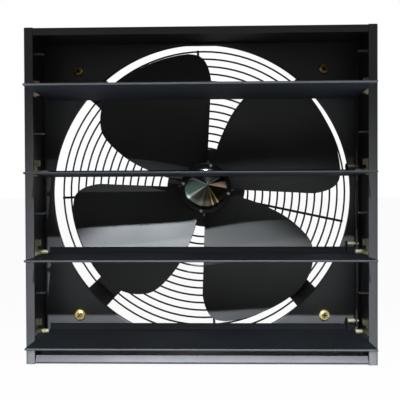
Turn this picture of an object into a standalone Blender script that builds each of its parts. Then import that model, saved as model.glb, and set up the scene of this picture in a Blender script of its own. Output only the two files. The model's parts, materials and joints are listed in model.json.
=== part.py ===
"""Axial extractor fan in a sheet-steel box, with four linked gravity louvres in front.

Metres, +Z up. X runs along the louvres and +Y away from the louvres towards the motor.
The origin is the centre of the casing's underside. Depths are measured back from the front rim.
The fan stands as photographed, with the louvres hanging open on their stops.
"""

import math

import bpy
import bmesh
from mathutils import Matrix, Vector

PART_NAME = "axial_extractor_fan"

# Clearances and cutting
SEAT_GAP = 0.0003
RUNNING_GAP = 0.0003
CUT_OVERRUN = 0.004
WELD_DEPTH = 0.0006
MERGE_DISTANCE = 0.00001

# The round opening sets the size class: the casing, impeller, guard and bracket follow it
OPENING_RADIUS = 0.1590
OPENING_RISE = 0.0014
OPENING_SIDE_MARGIN = 0.0115
OPENING_END_MARGIN = 0.0045

# Casing: four walls with lips turned in at the front rim
CASING_WIDTH = 2 * (OPENING_RADIUS + OPENING_SIDE_MARGIN)
CASING_HEIGHT = 2 * (OPENING_RADIUS + OPENING_END_MARGIN)
CASING_DEPTH = 0.066
CASING_SHEET = 0.0012
SIDE_LIP = 0.0089
TOP_LIP = 0.0074
BOTTOM_LIP = 0.0080

# Back plate: a tray with a round opening and a collar turned back round it
PLATE_INSET = 0.0100
PLATE_DEPTH = CASING_DEPTH - PLATE_INSET
PLATE_SHEET = 0.0010
PLATE_FLANGE = 0.0095
COLLAR_DEPTH = 0.0040

# Louvres: a blade hung near its rear edge, swinging its free edge up to close
LOUVRE_COUNT = 4
LOUVRE_DROP = 0.0632
LOUVRE_FOOT = 0.0208
LOUVRE_PITCH = (CASING_HEIGHT - LOUVRE_DROP - LOUVRE_FOOT) / (LOUVRE_COUNT - 1)
LOUVRE_END_GAP = 0.0083
LOUVRE_HALF_LENGTH = CASING_WIDTH / 2 - CASING_SHEET - LOUVRE_END_GAP
LOUVRE_SLOPE = math.radians(2.3)
CLOSED_SWING = math.radians(87)
PIVOT_DEPTH = 0.027
BLADE_CLEARANCE = 0.0244
BLADE_FREE = LOUVRE_PITCH - BLADE_CLEARANCE
BLADE_REAR = 0.0215
BLADE_SHEET = 0.0008
BLADE_LIP = 0.0060
BLADE_HEM = 0.0020
BLADE_HEM_DEPTH = 0.0016

# Pivot pins, and the clips on the side walls that carry them
PIVOT_RADIUS = 0.0023
PIVOT_LENGTH = 0.0068
PIVOT_OVERHANG = 0.0016
SPINDLE_RADIUS = 0.0012
CLIP_SHEET = 0.0010
CLIP_WIDTH = 0.0080
CLIP_BELOW = 0.0036
CLIP_ABOVE = 0.0130
CLIP_BOSS_RADIUS = 0.0026
CLIP_REACH = 0.0050
CLIP_TAB_HEIGHT = 0.0065
CLIP_TAB_WIDTH = 0.0045

# Closed stops: tabs lanced in from the side walls, behind each closed blade
STOP_DROP = 0.0380
STOP_RISE = LOUVRE_PITCH - STOP_DROP
STOP_DEPTH = 0.0052
STOP_HEIGHT = 0.0016
STOP_OVERLAP = 0.0015

# Tie bar, its pins, and the ear that carries each pin
LINK_BACK = 0.0200
LINK_RISE = 0.0090
LINK_RADIUS = 0.0023
LINK_LENGTH = 0.0076
LINK_END = 0.0020
EAR_SHEET = 0.0012
EAR_HALF_WIDTH = 0.0032
EAR_MARGIN = 0.0032
EAR_INSET = 0.0080
BAR_WIDTH = 0.0050
BAR_SHEET = 0.0012
BAR_INSET = 0.0008
BAR_MARGIN = 0.0032

# Motor bracket: an X of two straps, with its feet behind the plate's corners
SCREW_INSET = 0.0325
SCREW_REACH = CASING_HEIGHT / 2 - SCREW_INSET
SCREW_RISE = 0.0020
STRAP_WIDTH = 0.028
STRAP_SHEET = 0.0020
STRAP_STAND = 0.0335
STRAP_DEPTH = PLATE_DEPTH + STRAP_STAND
FOOT_END = 0.0110
SLANT_MARGIN = 0.0045
SLANT_RUN = 0.0080
SLANT_OUTER = OPENING_RADIUS + SLANT_MARGIN
SLANT_INNER = SLANT_OUTER - SLANT_RUN
SEAT_DISC_RADIUS = 0.0440

# Screws and nuts through the plate and the feet
SCREW_RADIUS = 0.0020
SCREW_HEAD_RADIUS = 0.0057
SCREW_HEAD_HEIGHT = 0.0026
# The head's dome, as shares of its radius and of its height behind its front
SCREW_HEAD_SHARES = ((0.0, 0.0), (0.45, 0.0), (0.70, 0.35), (1.0, 0.55))
SCREW_RECESS = 0.0014
SCREW_RECESS_WIDTH = 0.0012
SCREW_RECESS_LENGTH = 0.0057
NUT_RADIUS = 0.0040
NUT_HEIGHT = 0.0032
SCREW_TAIL = 0.0015

# Hub: the motor axis sits a little off the middle of the opening, as photographed
HUB_SHIFT = 0.0050
HUB_RISE = 0.0068
HUB_PROUD = 0.0010
HUB_FRONT = PLATE_DEPTH - HUB_PROUD
RING_RADIUS = 0.0270
RING_SHEET = 0.0025
CAP_RADIUS = 0.0222
CAP_HEIGHT = 0.0030
CAP_LIP = 0.0008
CAP_DOME_SHARES = (0.25, 0.45, 0.62, 0.76, 0.88, 0.96)
DRUM_RADIUS = 0.0275
DRUM_WALL = 0.0025
DRUM_GAP = 0.0077
DRUM_BOSS_RADIUS = 0.0090
RIVET_CIRCLE = 0.0246
RIVET_RADIUS = 0.0014
RIVET_HEAD = 0.0011
RIVET_LENGTH = 0.0030
RIVET_FLARE_SHARE = 1.4
RIVET_RIM_SHARE = 0.33
RIVET_LEAD_DEGREES = 10.0

# Impeller blades
TIP_GAP = 0.0090
TIP_RADIUS = OPENING_RADIUS - TIP_GAP
IMPELLER_SHEET = 0.0012
IMPELLER_PROUD = 0.0005
IMPELLER_FRONT = HUB_FRONT - IMPELLER_PROUD
IMPELLER_GAP = 0.0083
IMPELLER_BACK = STRAP_DEPTH - IMPELLER_GAP
BLADE_SPAN_DEGREES = 77.0
STRAIGHT_EDGE_DEGREES = (-3.0, 87.0, 177.5, 268.0)
# Each row: radius as a share of the tip's, where the blade starts and ends, in degrees, and its
# rise towards the front as a share of the full rise. The root is let into the drum, and its lower
# rise keeps it behind the hub ring
ROOT_BITE = 0.0020
ROOT_RISE_SHARE = 0.78
BLADE_OUTLINE_SHARES = (
    (0.250, 0.0, 77.0, 0.82),
    (0.330, 0.0, 76.8, 0.88),
    (0.450, 0.0, 75.0, 0.96),
    (0.560, 0.0, 73.2, 1.00),
    (0.660, 0.0, 70.8, 1.00),
    (0.790, 0.0, 67.0, 1.00),
    (0.850, 0.8, 64.4, 1.00),
    (0.890, 1.6, 61.4, 1.00),
    (0.930, 2.8, 57.6, 1.00),
    (0.960, 4.2, 53.6, 1.00),
    (0.985, 6.4, 49.0, 1.00),
    (1.000, 10.5, 43.0, 1.00),
)
BLADE_COLUMNS = 9

# Motor
MOTOR_RADIUS = 0.0425
MOTOR_WALL = 0.0025
MOTOR_FRONT_LENGTH = 0.0180
MOTOR_REAR_LENGTH = 0.0400
MOTOR_BOSS_RADIUS = 0.0110
MOTOR_BOSS_LENGTH = 0.0060
MOTOR_SPIGOT = 0.0030
SHAFT_RADIUS = 0.0040
SHAFT_STEP = 0.0010
BEARING_RADIUS = 0.0095
BEARING_WIDTH = 0.0070
BEARING_SEAT_WALL = 0.0025
BEARING_WEB = 0.0015
STATOR_WALL = 0.0165
STATOR_BORE = MOTOR_RADIUS - MOTOR_WALL - STATOR_WALL
STATOR_LENGTH = 0.0300
STATOR_OFFSET = 0.0050
ROTOR_AIR_GAP = 0.0006
ROTOR_LENGTH = 0.0290
MOTOR_SCREW_INSET = 0.0135
MOTOR_SCREW_CIRCLE = MOTOR_RADIUS - MOTOR_SCREW_INSET
MOTOR_SCREW_RADIUS = 0.0020
MOTOR_SCREW_HEAD = 0.0036
MOTOR_SCREW_HEAD_HEIGHT = 0.0024
MOTOR_SCREW_BITE = 0.0020

# Terminal box behind the motor, with its gland
BOX_WIDTH = 0.052
BOX_HEIGHT = 0.038
BOX_DEPTH = 0.021
BOX_WALL = 0.0020
LID_SHEET = 0.0025
LID_OVERHANG = 0.0010
LID_EDGE = 0.0006
GLAND_RADIUS = 0.0075
GLAND_BORE = 0.0035
GLAND_LENGTH = 0.0140
GLAND_NECK = 0.0055
GLAND_NECK_LENGTH = 0.0030

# Wire guard: flat rings on four spokes, resting behind the straps
RING_WIRE = 0.0010
SPOKE_WIRE = 0.00135
SPOKE_BEHIND = 0.0009
GUARD_MARGIN = 0.0010
GUARD_RADIUS = OPENING_RADIUS + GUARD_MARGIN
GUARD_EYE_MARGIN = 0.00804
GUARD_EYE_RADIUS = MOTOR_RADIUS + GUARD_EYE_MARGIN
GUARD_RING_COUNT = 14
GUARD_RING_STEP = (GUARD_RADIUS - GUARD_EYE_RADIUS) / (GUARD_RING_COUNT - 1)
GUARD_SHIFT = 0.0020
GUARD_RISE = 0.0019
SPOKE_DEGREES = (92.0, 274.5, 182.0, -12.0)

# Facets
ROUND_SEGMENTS = 36
OPENING_SEGMENTS = 72
RING_SEGMENTS = 36
RING_START_SHARE = 0.70
SMALL_SEGMENTS = 12
SMOOTH_ANGLE = math.radians(40)

CENTRE_HEIGHT = CASING_HEIGHT / 2
RIM_Y = -CASING_DEPTH / 2
INNER_HALF_WIDTH = CASING_WIDTH / 2 - CASING_SHEET
STRAP_BACK = STRAP_DEPTH + STRAP_SHEET
GUARD_DEPTH = STRAP_BACK + SEAT_GAP + RING_WIRE
PLATE_BACK = PLATE_DEPTH + PLATE_SHEET
MOTOR_FRONT = STRAP_BACK + SEAT_GAP
MOTOR_SPLIT = MOTOR_FRONT + MOTOR_FRONT_LENGTH
MOTOR_BACK = MOTOR_SPLIT + SEAT_GAP + MOTOR_REAR_LENGTH


def place(x, depth, height):
    """A point from its X, its depth behind the rim and its height above the underside."""
    return Vector((x, RIM_Y + depth, height))


OPENING_CENTRE = place(0, 0, CENTRE_HEIGHT + OPENING_RISE)
BRACKET_CENTRE = place(0, 0, CENTRE_HEIGHT + SCREW_RISE)
HUB_CENTRE = place(HUB_SHIFT, 0, CENTRE_HEIGHT + HUB_RISE)
GUARD_CENTRE = place(GUARD_SHIFT, 0, CENTRE_HEIGHT + GUARD_RISE)

# Local Z of a turned piece, turned to face the viewer, the left, the right or the floor
FACING_FRONT = Matrix.Rotation(math.radians(90), 4, "X")
FACING_RIGHT = Matrix.Rotation(math.radians(90), 4, "Y")
FACING_LEFT = Matrix.Rotation(math.radians(-90), 4, "Y")


def clear_scene():
    for old in list(bpy.data.objects):
        bpy.data.objects.remove(old, do_unlink=True)


def new_collection(name):
    collection = bpy.data.collections.new(name)
    bpy.context.scene.collection.children.link(collection)
    return collection


def new_material(name, colour, roughness, metallic):
    material = bpy.data.materials.new(name)
    material.use_nodes = True
    shader = material.node_tree.nodes["Principled BSDF"]
    shader.inputs["Base Color"].default_value = (*colour, 1.0)
    shader.inputs["Roughness"].default_value = roughness
    shader.inputs["Metallic"].default_value = metallic
    return material


clear_scene()
PARTS = new_collection(PART_NAME)
CUTTERS = new_collection(PART_NAME + "_cutters")
MATERIALS = {
    "casing_paint": new_material("casing_paint", (0.012, 0.012, 0.013), 0.30, 0.0),
    "louvre_paint": new_material("louvre_paint", (0.014, 0.015, 0.017), 0.28, 0.0),
    "impeller_paint": new_material("impeller_paint", (0.010, 0.010, 0.011), 0.40, 0.0),
    "guard_paint": new_material("guard_paint", (0.010, 0.010, 0.010), 0.35, 0.0),
    "hub_black": new_material("hub_black", (0.015, 0.015, 0.016), 0.35, 0.0),
    "cap_chrome": new_material("cap_chrome", (0.62, 0.60, 0.57), 0.12, 1.0),
    "yellow_zinc": new_material("yellow_zinc", (0.55, 0.47, 0.22), 0.35, 1.0),
    "bright_zinc": new_material("bright_zinc", (0.60, 0.60, 0.60), 0.30, 1.0),
    "motor_paint": new_material("motor_paint", (0.045, 0.040, 0.038), 0.45, 0.0),
    "shaft_steel": new_material("shaft_steel", (0.55, 0.55, 0.55), 0.25, 1.0),
    "core_steel": new_material("core_steel", (0.30, 0.30, 0.31), 0.50, 1.0),
    "box_plastic": new_material("box_plastic", (0.020, 0.020, 0.022), 0.50, 0.0),
}


def add_object(name, data, material):
    item = bpy.data.objects.new(name, data)
    if material is None:
        CUTTERS.objects.link(item)
        item.hide_render = True
        item.display_type = "WIRE"
    else:
        PARTS.objects.link(item)
        data.materials.append(MATERIALS[material])
    return item


def smooth(mesh):
    mesh.shade_smooth()
    mesh.set_sharp_from_angle(angle=SMOOTH_ANGLE)


def box(name, low, high, material=None, origin=None):
    """A block between two corners, in world coordinates, with its origin where asked."""
    low, high = Vector(low), Vector(high)
    origin = (low + high) / 2 if origin is None else origin
    cells = bmesh.new()
    bmesh.ops.create_cube(cells, size=1)
    bmesh.ops.scale(cells, vec=high - low, verts=cells.verts)
    bmesh.ops.translate(cells, vec=(low + high) / 2 - origin, verts=cells.verts)
    mesh = bpy.data.meshes.new(name)
    cells.to_mesh(mesh)
    cells.free()
    item = add_object(name, mesh, material)
    item.location = origin
    return item


def turned(name, profile, facing, location, material=None, ring=False, segments=ROUND_SEGMENTS):
    """A turned piece. The profile holds (radius, distance back from the front) down its outer side."""
    mesh = bpy.data.meshes.new(name)
    points = [(radius, 0, -back) for radius, back in profile]
    edges = [(i, i + 1) for i in range(len(points) - 1)]
    if ring:
        edges.append((len(points) - 1, 0))
    mesh.from_pydata(points, edges, [])
    item = add_object(name, mesh, material)
    screw = item.modifiers.new("turn", "SCREW")
    screw.axis = "Z"
    screw.angle = math.tau
    screw.steps = segments
    screw.render_steps = segments
    screw.use_merge_vertices = True
    screw.merge_threshold = MERGE_DISTANCE
    screw.use_smooth_shade = True
    item.matrix_world = Matrix.Translation(location) @ facing
    return item


def cylinder(name, radius, low, high, facing, location, material=None, segments=SMALL_SEGMENTS):
    """A plain cylinder from low to high along the way it faces back from."""
    profile = [(0, low), (radius, low), (radius, high), (0, high)]
    return turned(name, profile, facing, location, material, segments=segments)


def tube(name, outer, inner, low, high, facing, location, material=None, segments=ROUND_SEGMENTS):
    """A plain ring from low to high."""
    profile = [(outer, low), (outer, high), (inner, high), (inner, low)]
    return turned(name, profile, facing, location, material, ring=True, segments=segments)


def mesh_from(item, name, material):
    """The evaluated mesh of a curve as an object in the same place, which takes its place."""
    bpy.context.view_layer.update()
    graph = bpy.context.evaluated_depsgraph_get()
    mesh = bpy.data.meshes.new_from_object(item.evaluated_get(graph))
    mesh.name = name
    mesh.materials.clear()
    cells = bmesh.new()
    cells.from_mesh(mesh)
    bmesh.ops.remove_doubles(cells, verts=cells.verts, dist=MERGE_DISTANCE)
    cells.to_mesh(mesh)
    cells.free()
    where = item.matrix_world.copy()
    bpy.data.objects.remove(item, do_unlink=True)
    made = add_object(name, mesh, material)
    made.matrix_world = where
    return made


def outline_plate(name, outline, low, high, axes, location, material=None):
    """A flat outline extruded from low to high. The axes turn local X, Y and Z into the world's."""
    curve = bpy.data.curves.new(name + "_outline", "CURVE")
    curve.dimensions = "2D"
    curve.fill_mode = "BOTH"
    curve.extrude = (high - low) / 2
    spline = curve.splines.new("POLY")
    spline.points.add(len(outline) - 1)
    for point, (x, y) in zip(spline.points, outline):
        point.co = (x, y, 0, 1)
    spline.use_cyclic_u = True
    item = bpy.data.objects.new(name + "_outline", curve)
    CUTTERS.objects.link(item)
    turn = Matrix((axes[0], axes[1], axes[2])).transposed().to_4x4()
    middle = Matrix.Translation((0, 0, (low + high) / 2))
    item.matrix_world = Matrix.Translation(location) @ turn @ middle
    return mesh_from(item, name, material)


def wire(name, points, radius, closed=False, sides=0):
    """A round wire along points in world coordinates, as a mesh cutter or guide."""
    curve = bpy.data.curves.new(name + "_line", "CURVE")
    curve.dimensions = "3D"
    curve.bevel_depth = radius
    curve.bevel_resolution = sides
    curve.use_fill_caps = not closed
    spline = curve.splines.new("POLY")
    spline.points.add(len(points) - 1)
    for point, place_at in zip(spline.points, points):
        point.co = (*place_at, 1)
    spline.use_cyclic_u = closed
    item = bpy.data.objects.new(name + "_line", curve)
    CUTTERS.objects.link(item)
    return mesh_from(item, name, None)


def join(name, items, material=None):
    """Separate shapes as one mesh object, left as separate bodies for a Boolean to join."""
    bpy.context.view_layer.update()
    graph = bpy.context.evaluated_depsgraph_get()
    cells = bmesh.new()
    for item in items:
        shape = item.evaluated_get(graph).to_mesh()
        shape.transform(item.matrix_world)
        cells.from_mesh(shape)
        item.evaluated_get(graph).to_mesh_clear()
    mesh = bpy.data.meshes.new(name)
    cells.to_mesh(mesh)
    cells.free()
    for item in items:
        bpy.data.objects.remove(item, do_unlink=True)
    return add_object(name, mesh, material)


def boolean(item, tool, operation):
    change = item.modifiers.new(tool.name, "BOOLEAN")
    change.operation = operation
    change.solver = "EXACT"
    change.object = tool


def cut(item, *tools):
    for tool in tools:
        boolean(item, tool, "DIFFERENCE")


def weld_on(item, *tools):
    for tool in tools:
        boolean(item, tool, "UNION")


def polar(radius, degrees, depth, centre):
    """A point at an angle seen from the front, counted anticlockwise from +X."""
    turn = math.radians(degrees)
    return centre + Vector((radius * math.cos(turn), depth, radius * math.sin(turn)))


def screw_places():
    for right in (-1, 1):
        for up in (1, -1):
            yield BRACKET_CENTRE + Vector((right * SCREW_REACH, 0, up * SCREW_REACH))


def pivot_height(number):
    """Height of a louvre's pivot axis. Louvre 1 is the top one."""
    rear_edge = CASING_HEIGHT - LOUVRE_DROP - number * LOUVRE_PITCH
    below = PIVOT_RADIUS + SEAT_GAP + BLADE_SHEET
    return rear_edge + below * math.cos(LOUVRE_SLOPE) + BLADE_REAR * math.sin(LOUVRE_SLOPE)


def louvre_point(forward, up, swing=0.0):
    """(back, up) from the pivot axis of a point on a blade, at a swing from rest."""
    lean = LOUVRE_SLOPE + swing
    back = -forward * math.cos(lean) + up * math.sin(lean)
    rise = forward * math.sin(lean) + up * math.cos(lean)
    return back, rise


BLADE_TOP = -(PIVOT_RADIUS + SEAT_GAP)
LINK_UP = BLADE_TOP + LINK_RISE
EAR_OUTER = LOUVRE_HALF_LENGTH - EAR_INSET
BAR_INNER = LOUVRE_HALF_LENGTH + BAR_INSET


def make_casing():
    half = CASING_WIDTH / 2
    inner = INNER_HALF_WIDTH
    casing = box(
        "casing",
        place(-half, 0, 0),
        place(half, CASING_DEPTH, CASING_HEIGHT),
        "casing_paint",
    )
    hollow = box(
        "casing_hollow",
        place(-inner, CASING_SHEET, CASING_SHEET),
        place(inner, CASING_DEPTH + CUT_OVERRUN, CASING_HEIGHT - CASING_SHEET),
    )
    mouth = box(
        "casing_mouth",
        place(SIDE_LIP - half, -CUT_OVERRUN, BOTTOM_LIP),
        place(half - SIDE_LIP, CASING_SHEET + CUT_OVERRUN, CASING_HEIGHT - TOP_LIP),
    )
    cut(casing, hollow, mouth)
    stops = []
    for number in range(LOUVRE_COUNT):
        rear_edge = CASING_HEIGHT - LOUVRE_DROP - number * LOUVRE_PITCH
        low = rear_edge + STOP_RISE
        along = (low - pivot_height(number)) / math.sin(LOUVRE_SLOPE + CLOSED_SWING)
        back = louvre_point(along, BLADE_TOP, CLOSED_SWING)[0]
        front = PIVOT_DEPTH + back + RUNNING_GAP
        for side, name in ((-1, "left"), (1, "right")):
            ends = sorted(
                (side * (LOUVRE_HALF_LENGTH - STOP_OVERLAP), side * (inner + WELD_DEPTH))
            )
            stops.append(
                box(
                    f"stop_{name}_{number + 1}",
                    place(ends[0], front, low),
                    place(ends[1], front + STOP_DEPTH, low + STOP_HEIGHT),
                )
            )
    weld_on(casing, join("casing_stops", stops))


def make_back_plate():
    side = INNER_HALF_WIDTH - SEAT_GAP
    low = CASING_SHEET + SEAT_GAP
    high = CASING_HEIGHT - CASING_SHEET - SEAT_GAP
    plate = box(
        "back_plate",
        place(-side, PLATE_DEPTH, low),
        place(side, PLATE_DEPTH + PLATE_FLANGE, high),
        "casing_paint",
    )
    tray = box(
        "plate_tray",
        place(PLATE_SHEET - side, PLATE_BACK, low + PLATE_SHEET),
        place(side - PLATE_SHEET, PLATE_BACK + PLATE_FLANGE, high - PLATE_SHEET),
    )
    collar = cylinder(
        "plate_collar",
        OPENING_RADIUS + PLATE_SHEET,
        PLATE_DEPTH + PLATE_SHEET / 2,
        PLATE_DEPTH + COLLAR_DEPTH,
        FACING_FRONT,
        OPENING_CENTRE,
        segments=OPENING_SEGMENTS,
    )
    opening = cylinder(
        "plate_opening",
        OPENING_RADIUS,
        PLATE_DEPTH - CUT_OVERRUN,
        PLATE_DEPTH + PLATE_FLANGE + CUT_OVERRUN,
        FACING_FRONT,
        OPENING_CENTRE,
        segments=OPENING_SEGMENTS,
    )
    cut(plate, tray, screw_holes("plate_holes"))
    weld_on(plate, collar)
    cut(plate, opening)


def screw_holes(name):
    holes = [
        cylinder(
            f"{name}_{number}",
            SCREW_RADIUS + SEAT_GAP,
            PLATE_DEPTH - CUT_OVERRUN,
            PLATE_BACK + STRAP_SHEET + CUT_OVERRUN,
            FACING_FRONT,
            centre,
        )
        for number, centre in enumerate(screw_places(), 1)
    ]
    return join(name, holes)


def strap_outline():
    """Half of a strap's section from the middle out, as (distance out, depth), front side first."""
    foot_front = PLATE_BACK + SEAT_GAP
    foot_back = foot_front + STRAP_SHEET
    end = math.hypot(SCREW_REACH, SCREW_REACH) + FOOT_END
    front_side = [(SLANT_INNER, STRAP_DEPTH), (SLANT_OUTER, foot_front), (end, foot_front)]
    run = math.hypot(SLANT_OUTER - SLANT_INNER, STRAP_DEPTH - foot_front)
    lean = STRAP_SHEET * (run - (SLANT_OUTER - SLANT_INNER)) / (STRAP_DEPTH - foot_front)
    back_side = [(end, foot_back), (SLANT_OUTER + lean, foot_back), (SLANT_INNER + lean, STRAP_BACK)]
    return front_side + back_side


def make_motor_bracket():
    outline = strap_outline()
    closed = outline + [(-out, depth) for out, depth in reversed(outline)]
    straps = []
    for name, turn in (("rising", 45), ("falling", 135)):
        slope = math.radians(turn)
        along = Vector((math.cos(slope), 0, math.sin(slope)))
        back = Vector((0, 1, 0))
        straps.append(
            outline_plate(
                "motor_bracket" if name == "rising" else "falling_strap",
                closed,
                -STRAP_WIDTH / 2,
                STRAP_WIDTH / 2,
                (along, back, along.cross(back)),
                BRACKET_CENTRE,
                "casing_paint" if name == "rising" else None,
            )
        )
    disc = cylinder(
        "bracket_disc",
        SEAT_DISC_RADIUS,
        STRAP_DEPTH,
        STRAP_BACK,
        FACING_FRONT,
        HUB_CENTRE,
        segments=ROUND_SEGMENTS,
    )
    bore = cylinder(
        "bracket_bore",
        MOTOR_BOSS_RADIUS + SEAT_GAP,
        STRAP_DEPTH - CUT_OVERRUN,
        STRAP_BACK + CUT_OVERRUN,
        FACING_FRONT,
        HUB_CENTRE,
        segments=ROUND_SEGMENTS // 2,
    )
    bracket = straps[0]
    weld_on(bracket, straps[1], disc)
    cut(bracket, bore, screw_holes("foot_holes"), motor_screw_holes("disc_holes", STRAP_BACK))


def motor_screw_places():
    for degrees in (0, 90, 180, 270):
        yield polar(MOTOR_SCREW_CIRCLE, degrees, 0, HUB_CENTRE)


def motor_screw_holes(name, end):
    holes = [
        cylinder(
            f"{name}_{number}",
            MOTOR_SCREW_RADIUS + SEAT_GAP,
            STRAP_DEPTH - CUT_OVERRUN,
            end + MOTOR_SCREW_BITE + CUT_OVERRUN,
            FACING_FRONT,
            centre,
        )
        for number, centre in enumerate(motor_screw_places(), 1)
    ]
    return join(name, holes)


def make_screws():
    head_back = PLATE_DEPTH - SEAT_GAP
    head_front = head_back - SCREW_HEAD_HEIGHT
    foot_back = PLATE_BACK + SEAT_GAP + STRAP_SHEET
    nut_front = foot_back + SEAT_GAP
    tail = nut_front + NUT_HEIGHT + SCREW_TAIL
    for number, centre in enumerate(screw_places(), 1):
        dome = [
            (SCREW_HEAD_RADIUS * wide, head_front + SCREW_HEAD_HEIGHT * fall)
            for wide, fall in SCREW_HEAD_SHARES
        ]
        profile = dome + [
            (SCREW_HEAD_RADIUS, head_back),
            (SCREW_RADIUS, head_back),
            (SCREW_RADIUS, tail),
            (0, tail),
        ]
        screw = turned(
            f"bracket_screw_{number}", profile, FACING_FRONT, centre, "yellow_zinc", segments=16
        )
        arms = []
        for arm, (wide, tall) in enumerate(((True, False), (False, True))):
            x_half = (SCREW_RECESS_LENGTH if wide else SCREW_RECESS_WIDTH) / 2
            z_half = (SCREW_RECESS_LENGTH if tall else SCREW_RECESS_WIDTH) / 2
            arms.append(
                box(
                    f"screw_recess_{number}_{arm}",
                    centre + Vector((-x_half, head_front - CUT_OVERRUN, -z_half)),
                    centre + Vector((x_half, head_front + SCREW_RECESS, z_half)),
                )
            )
        cut(screw, *arms)
        nut = cylinder(
            f"bracket_nut_{number}",
            NUT_RADIUS,
            nut_front,
            nut_front + NUT_HEIGHT,
            FACING_FRONT,
            centre,
            "yellow_zinc",
            segments=6,
        )
        thread = cylinder(
            f"nut_thread_{number}",
            SCREW_RADIUS + SEAT_GAP,
            nut_front - CUT_OVERRUN,
            nut_front + NUT_HEIGHT + CUT_OVERRUN,
            FACING_FRONT,
            centre,
        )
        cut(nut, thread)
    for number, centre in enumerate(motor_screw_places(), 1):
        under = STRAP_DEPTH - SEAT_GAP
        profile = [
            (0, under - MOTOR_SCREW_HEAD_HEIGHT),
            (MOTOR_SCREW_HEAD, under - MOTOR_SCREW_HEAD_HEIGHT),
            (MOTOR_SCREW_HEAD, under),
            (MOTOR_SCREW_RADIUS, under),
            (MOTOR_SCREW_RADIUS, MOTOR_FRONT + MOTOR_SCREW_BITE),
            (0, MOTOR_FRONT + MOTOR_SCREW_BITE),
        ]
        turned(f"motor_screw_{number}", profile, FACING_FRONT, centre, "bright_zinc", segments=12)


def make_louvre(number):
    height = pivot_height(number)
    pivot = place(0, PIVOT_DEPTH, height)
    lean = LOUVRE_SLOPE
    forward = Vector((0, -math.cos(lean), math.sin(lean)))
    up = Vector((0, math.sin(lean), math.cos(lean)))
    axes = (forward, up, forward.cross(up))
    under = BLADE_TOP - BLADE_SHEET
    section = [
        (BLADE_FREE, BLADE_TOP),
        (BLADE_SHEET - BLADE_REAR, BLADE_TOP),
        (BLADE_SHEET - BLADE_REAR, BLADE_TOP + BLADE_LIP),
        (-BLADE_REAR, BLADE_TOP + BLADE_LIP),
        (-BLADE_REAR, under),
        (BLADE_FREE - BLADE_HEM_DEPTH, under),
        (BLADE_FREE - BLADE_HEM_DEPTH, BLADE_TOP - BLADE_HEM),
        (BLADE_FREE, BLADE_TOP - BLADE_HEM),
    ]
    label = number + 1
    blade = outline_plate(
        f"louvre_{label}",
        section,
        -LOUVRE_HALF_LENGTH,
        LOUVRE_HALF_LENGTH,
        axes,
        pivot,
        "louvre_paint",
    )
    ear_outline = [
        (EAR_HALF_WIDTH - LINK_BACK, BLADE_TOP - BLADE_SHEET / 2),
        (EAR_HALF_WIDTH - LINK_BACK, LINK_UP + EAR_MARGIN / 2),
        (EAR_HALF_WIDTH / 2 - LINK_BACK, LINK_UP + EAR_MARGIN),
        (-EAR_HALF_WIDTH / 2 - LINK_BACK, LINK_UP + EAR_MARGIN),
        (-EAR_HALF_WIDTH - LINK_BACK, LINK_UP + EAR_MARGIN / 2),
        (BLADE_SHEET / 2 - BLADE_REAR, BLADE_TOP + BLADE_LIP / 2),
        (BLADE_SHEET / 2 - BLADE_REAR, BLADE_TOP - BLADE_SHEET / 2),
    ]
    side = axes[2].x
    ear_ends = sorted((side * EAR_OUTER, side * (EAR_OUTER - EAR_SHEET)))
    ear = outline_plate(f"ear_{label}", ear_outline, ear_ends[0], ear_ends[1], axes, pivot)
    weld_on(blade, ear)
    for side, name, facing in ((-1, "left", FACING_LEFT), (1, "right", FACING_RIGHT)):
        inner_end = side * (LOUVRE_HALF_LENGTH + PIVOT_OVERHANG - PIVOT_LENGTH)
        spindle_end = INNER_HALF_WIDTH - SEAT_GAP - CLIP_SHEET - RUNNING_GAP - abs(inner_end)
        profile = [
            (0, -spindle_end),
            (SPINDLE_RADIUS, -spindle_end),
            (SPINDLE_RADIUS, -PIVOT_LENGTH),
            (PIVOT_RADIUS, -PIVOT_LENGTH),
            (PIVOT_RADIUS, 0),
            (0, 0),
        ]
        turned(
            f"pivot_pin_{name}_{label}",
            profile,
            facing,
            pivot + Vector((inner_end, 0, 0)),
            "yellow_zinc",
            segments=14,
        )
        make_clip(f"pivot_clip_{name}_{label}", side, facing, pivot)
    make_link_pin(label, pivot)


def make_clip(name, side, facing, pivot):
    wall = INNER_HALF_WIDTH - SEAT_GAP
    front = pivot.y - CLIP_WIDTH / 2

    def block(label, near, far, low, high, width, material=None):
        ends = sorted((side * near, side * far))
        y_low = front + (CLIP_WIDTH - width) / 2
        return box(
            label,
            (ends[0], y_low, pivot.z + low),
            (ends[1], y_low + width, pivot.z + high),
            material,
        )

    clip = block(name, wall, wall - CLIP_SHEET, -CLIP_BELOW, CLIP_ABOVE, CLIP_WIDTH, "yellow_zinc")
    tab = block(
        name + "_tab",
        wall - CLIP_SHEET / 2,
        wall - CLIP_REACH,
        CLIP_ABOVE - CLIP_TAB_HEIGHT,
        CLIP_ABOVE - CLIP_SHEET / 2,
        CLIP_TAB_WIDTH,
    )
    boss = cylinder(
        name + "_boss",
        CLIP_BOSS_RADIUS,
        -CLIP_REACH,
        -CLIP_SHEET / 2,
        facing.inverted(),
        Vector((side * wall, pivot.y, pivot.z)),
    )
    bore = cylinder(
        name + "_bore",
        SPINDLE_RADIUS + RUNNING_GAP,
        -CLIP_REACH - CUT_OVERRUN,
        -CLIP_SHEET,
        facing.inverted(),
        Vector((side * wall, pivot.y, pivot.z)),
    )
    weld_on(clip, join(name + "_adds", [tab, boss]))
    cut(clip, bore)


def link_place(pivot):
    back, rise = louvre_point(-LINK_BACK, LINK_UP)
    return pivot + Vector((0, back, rise))


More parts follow.
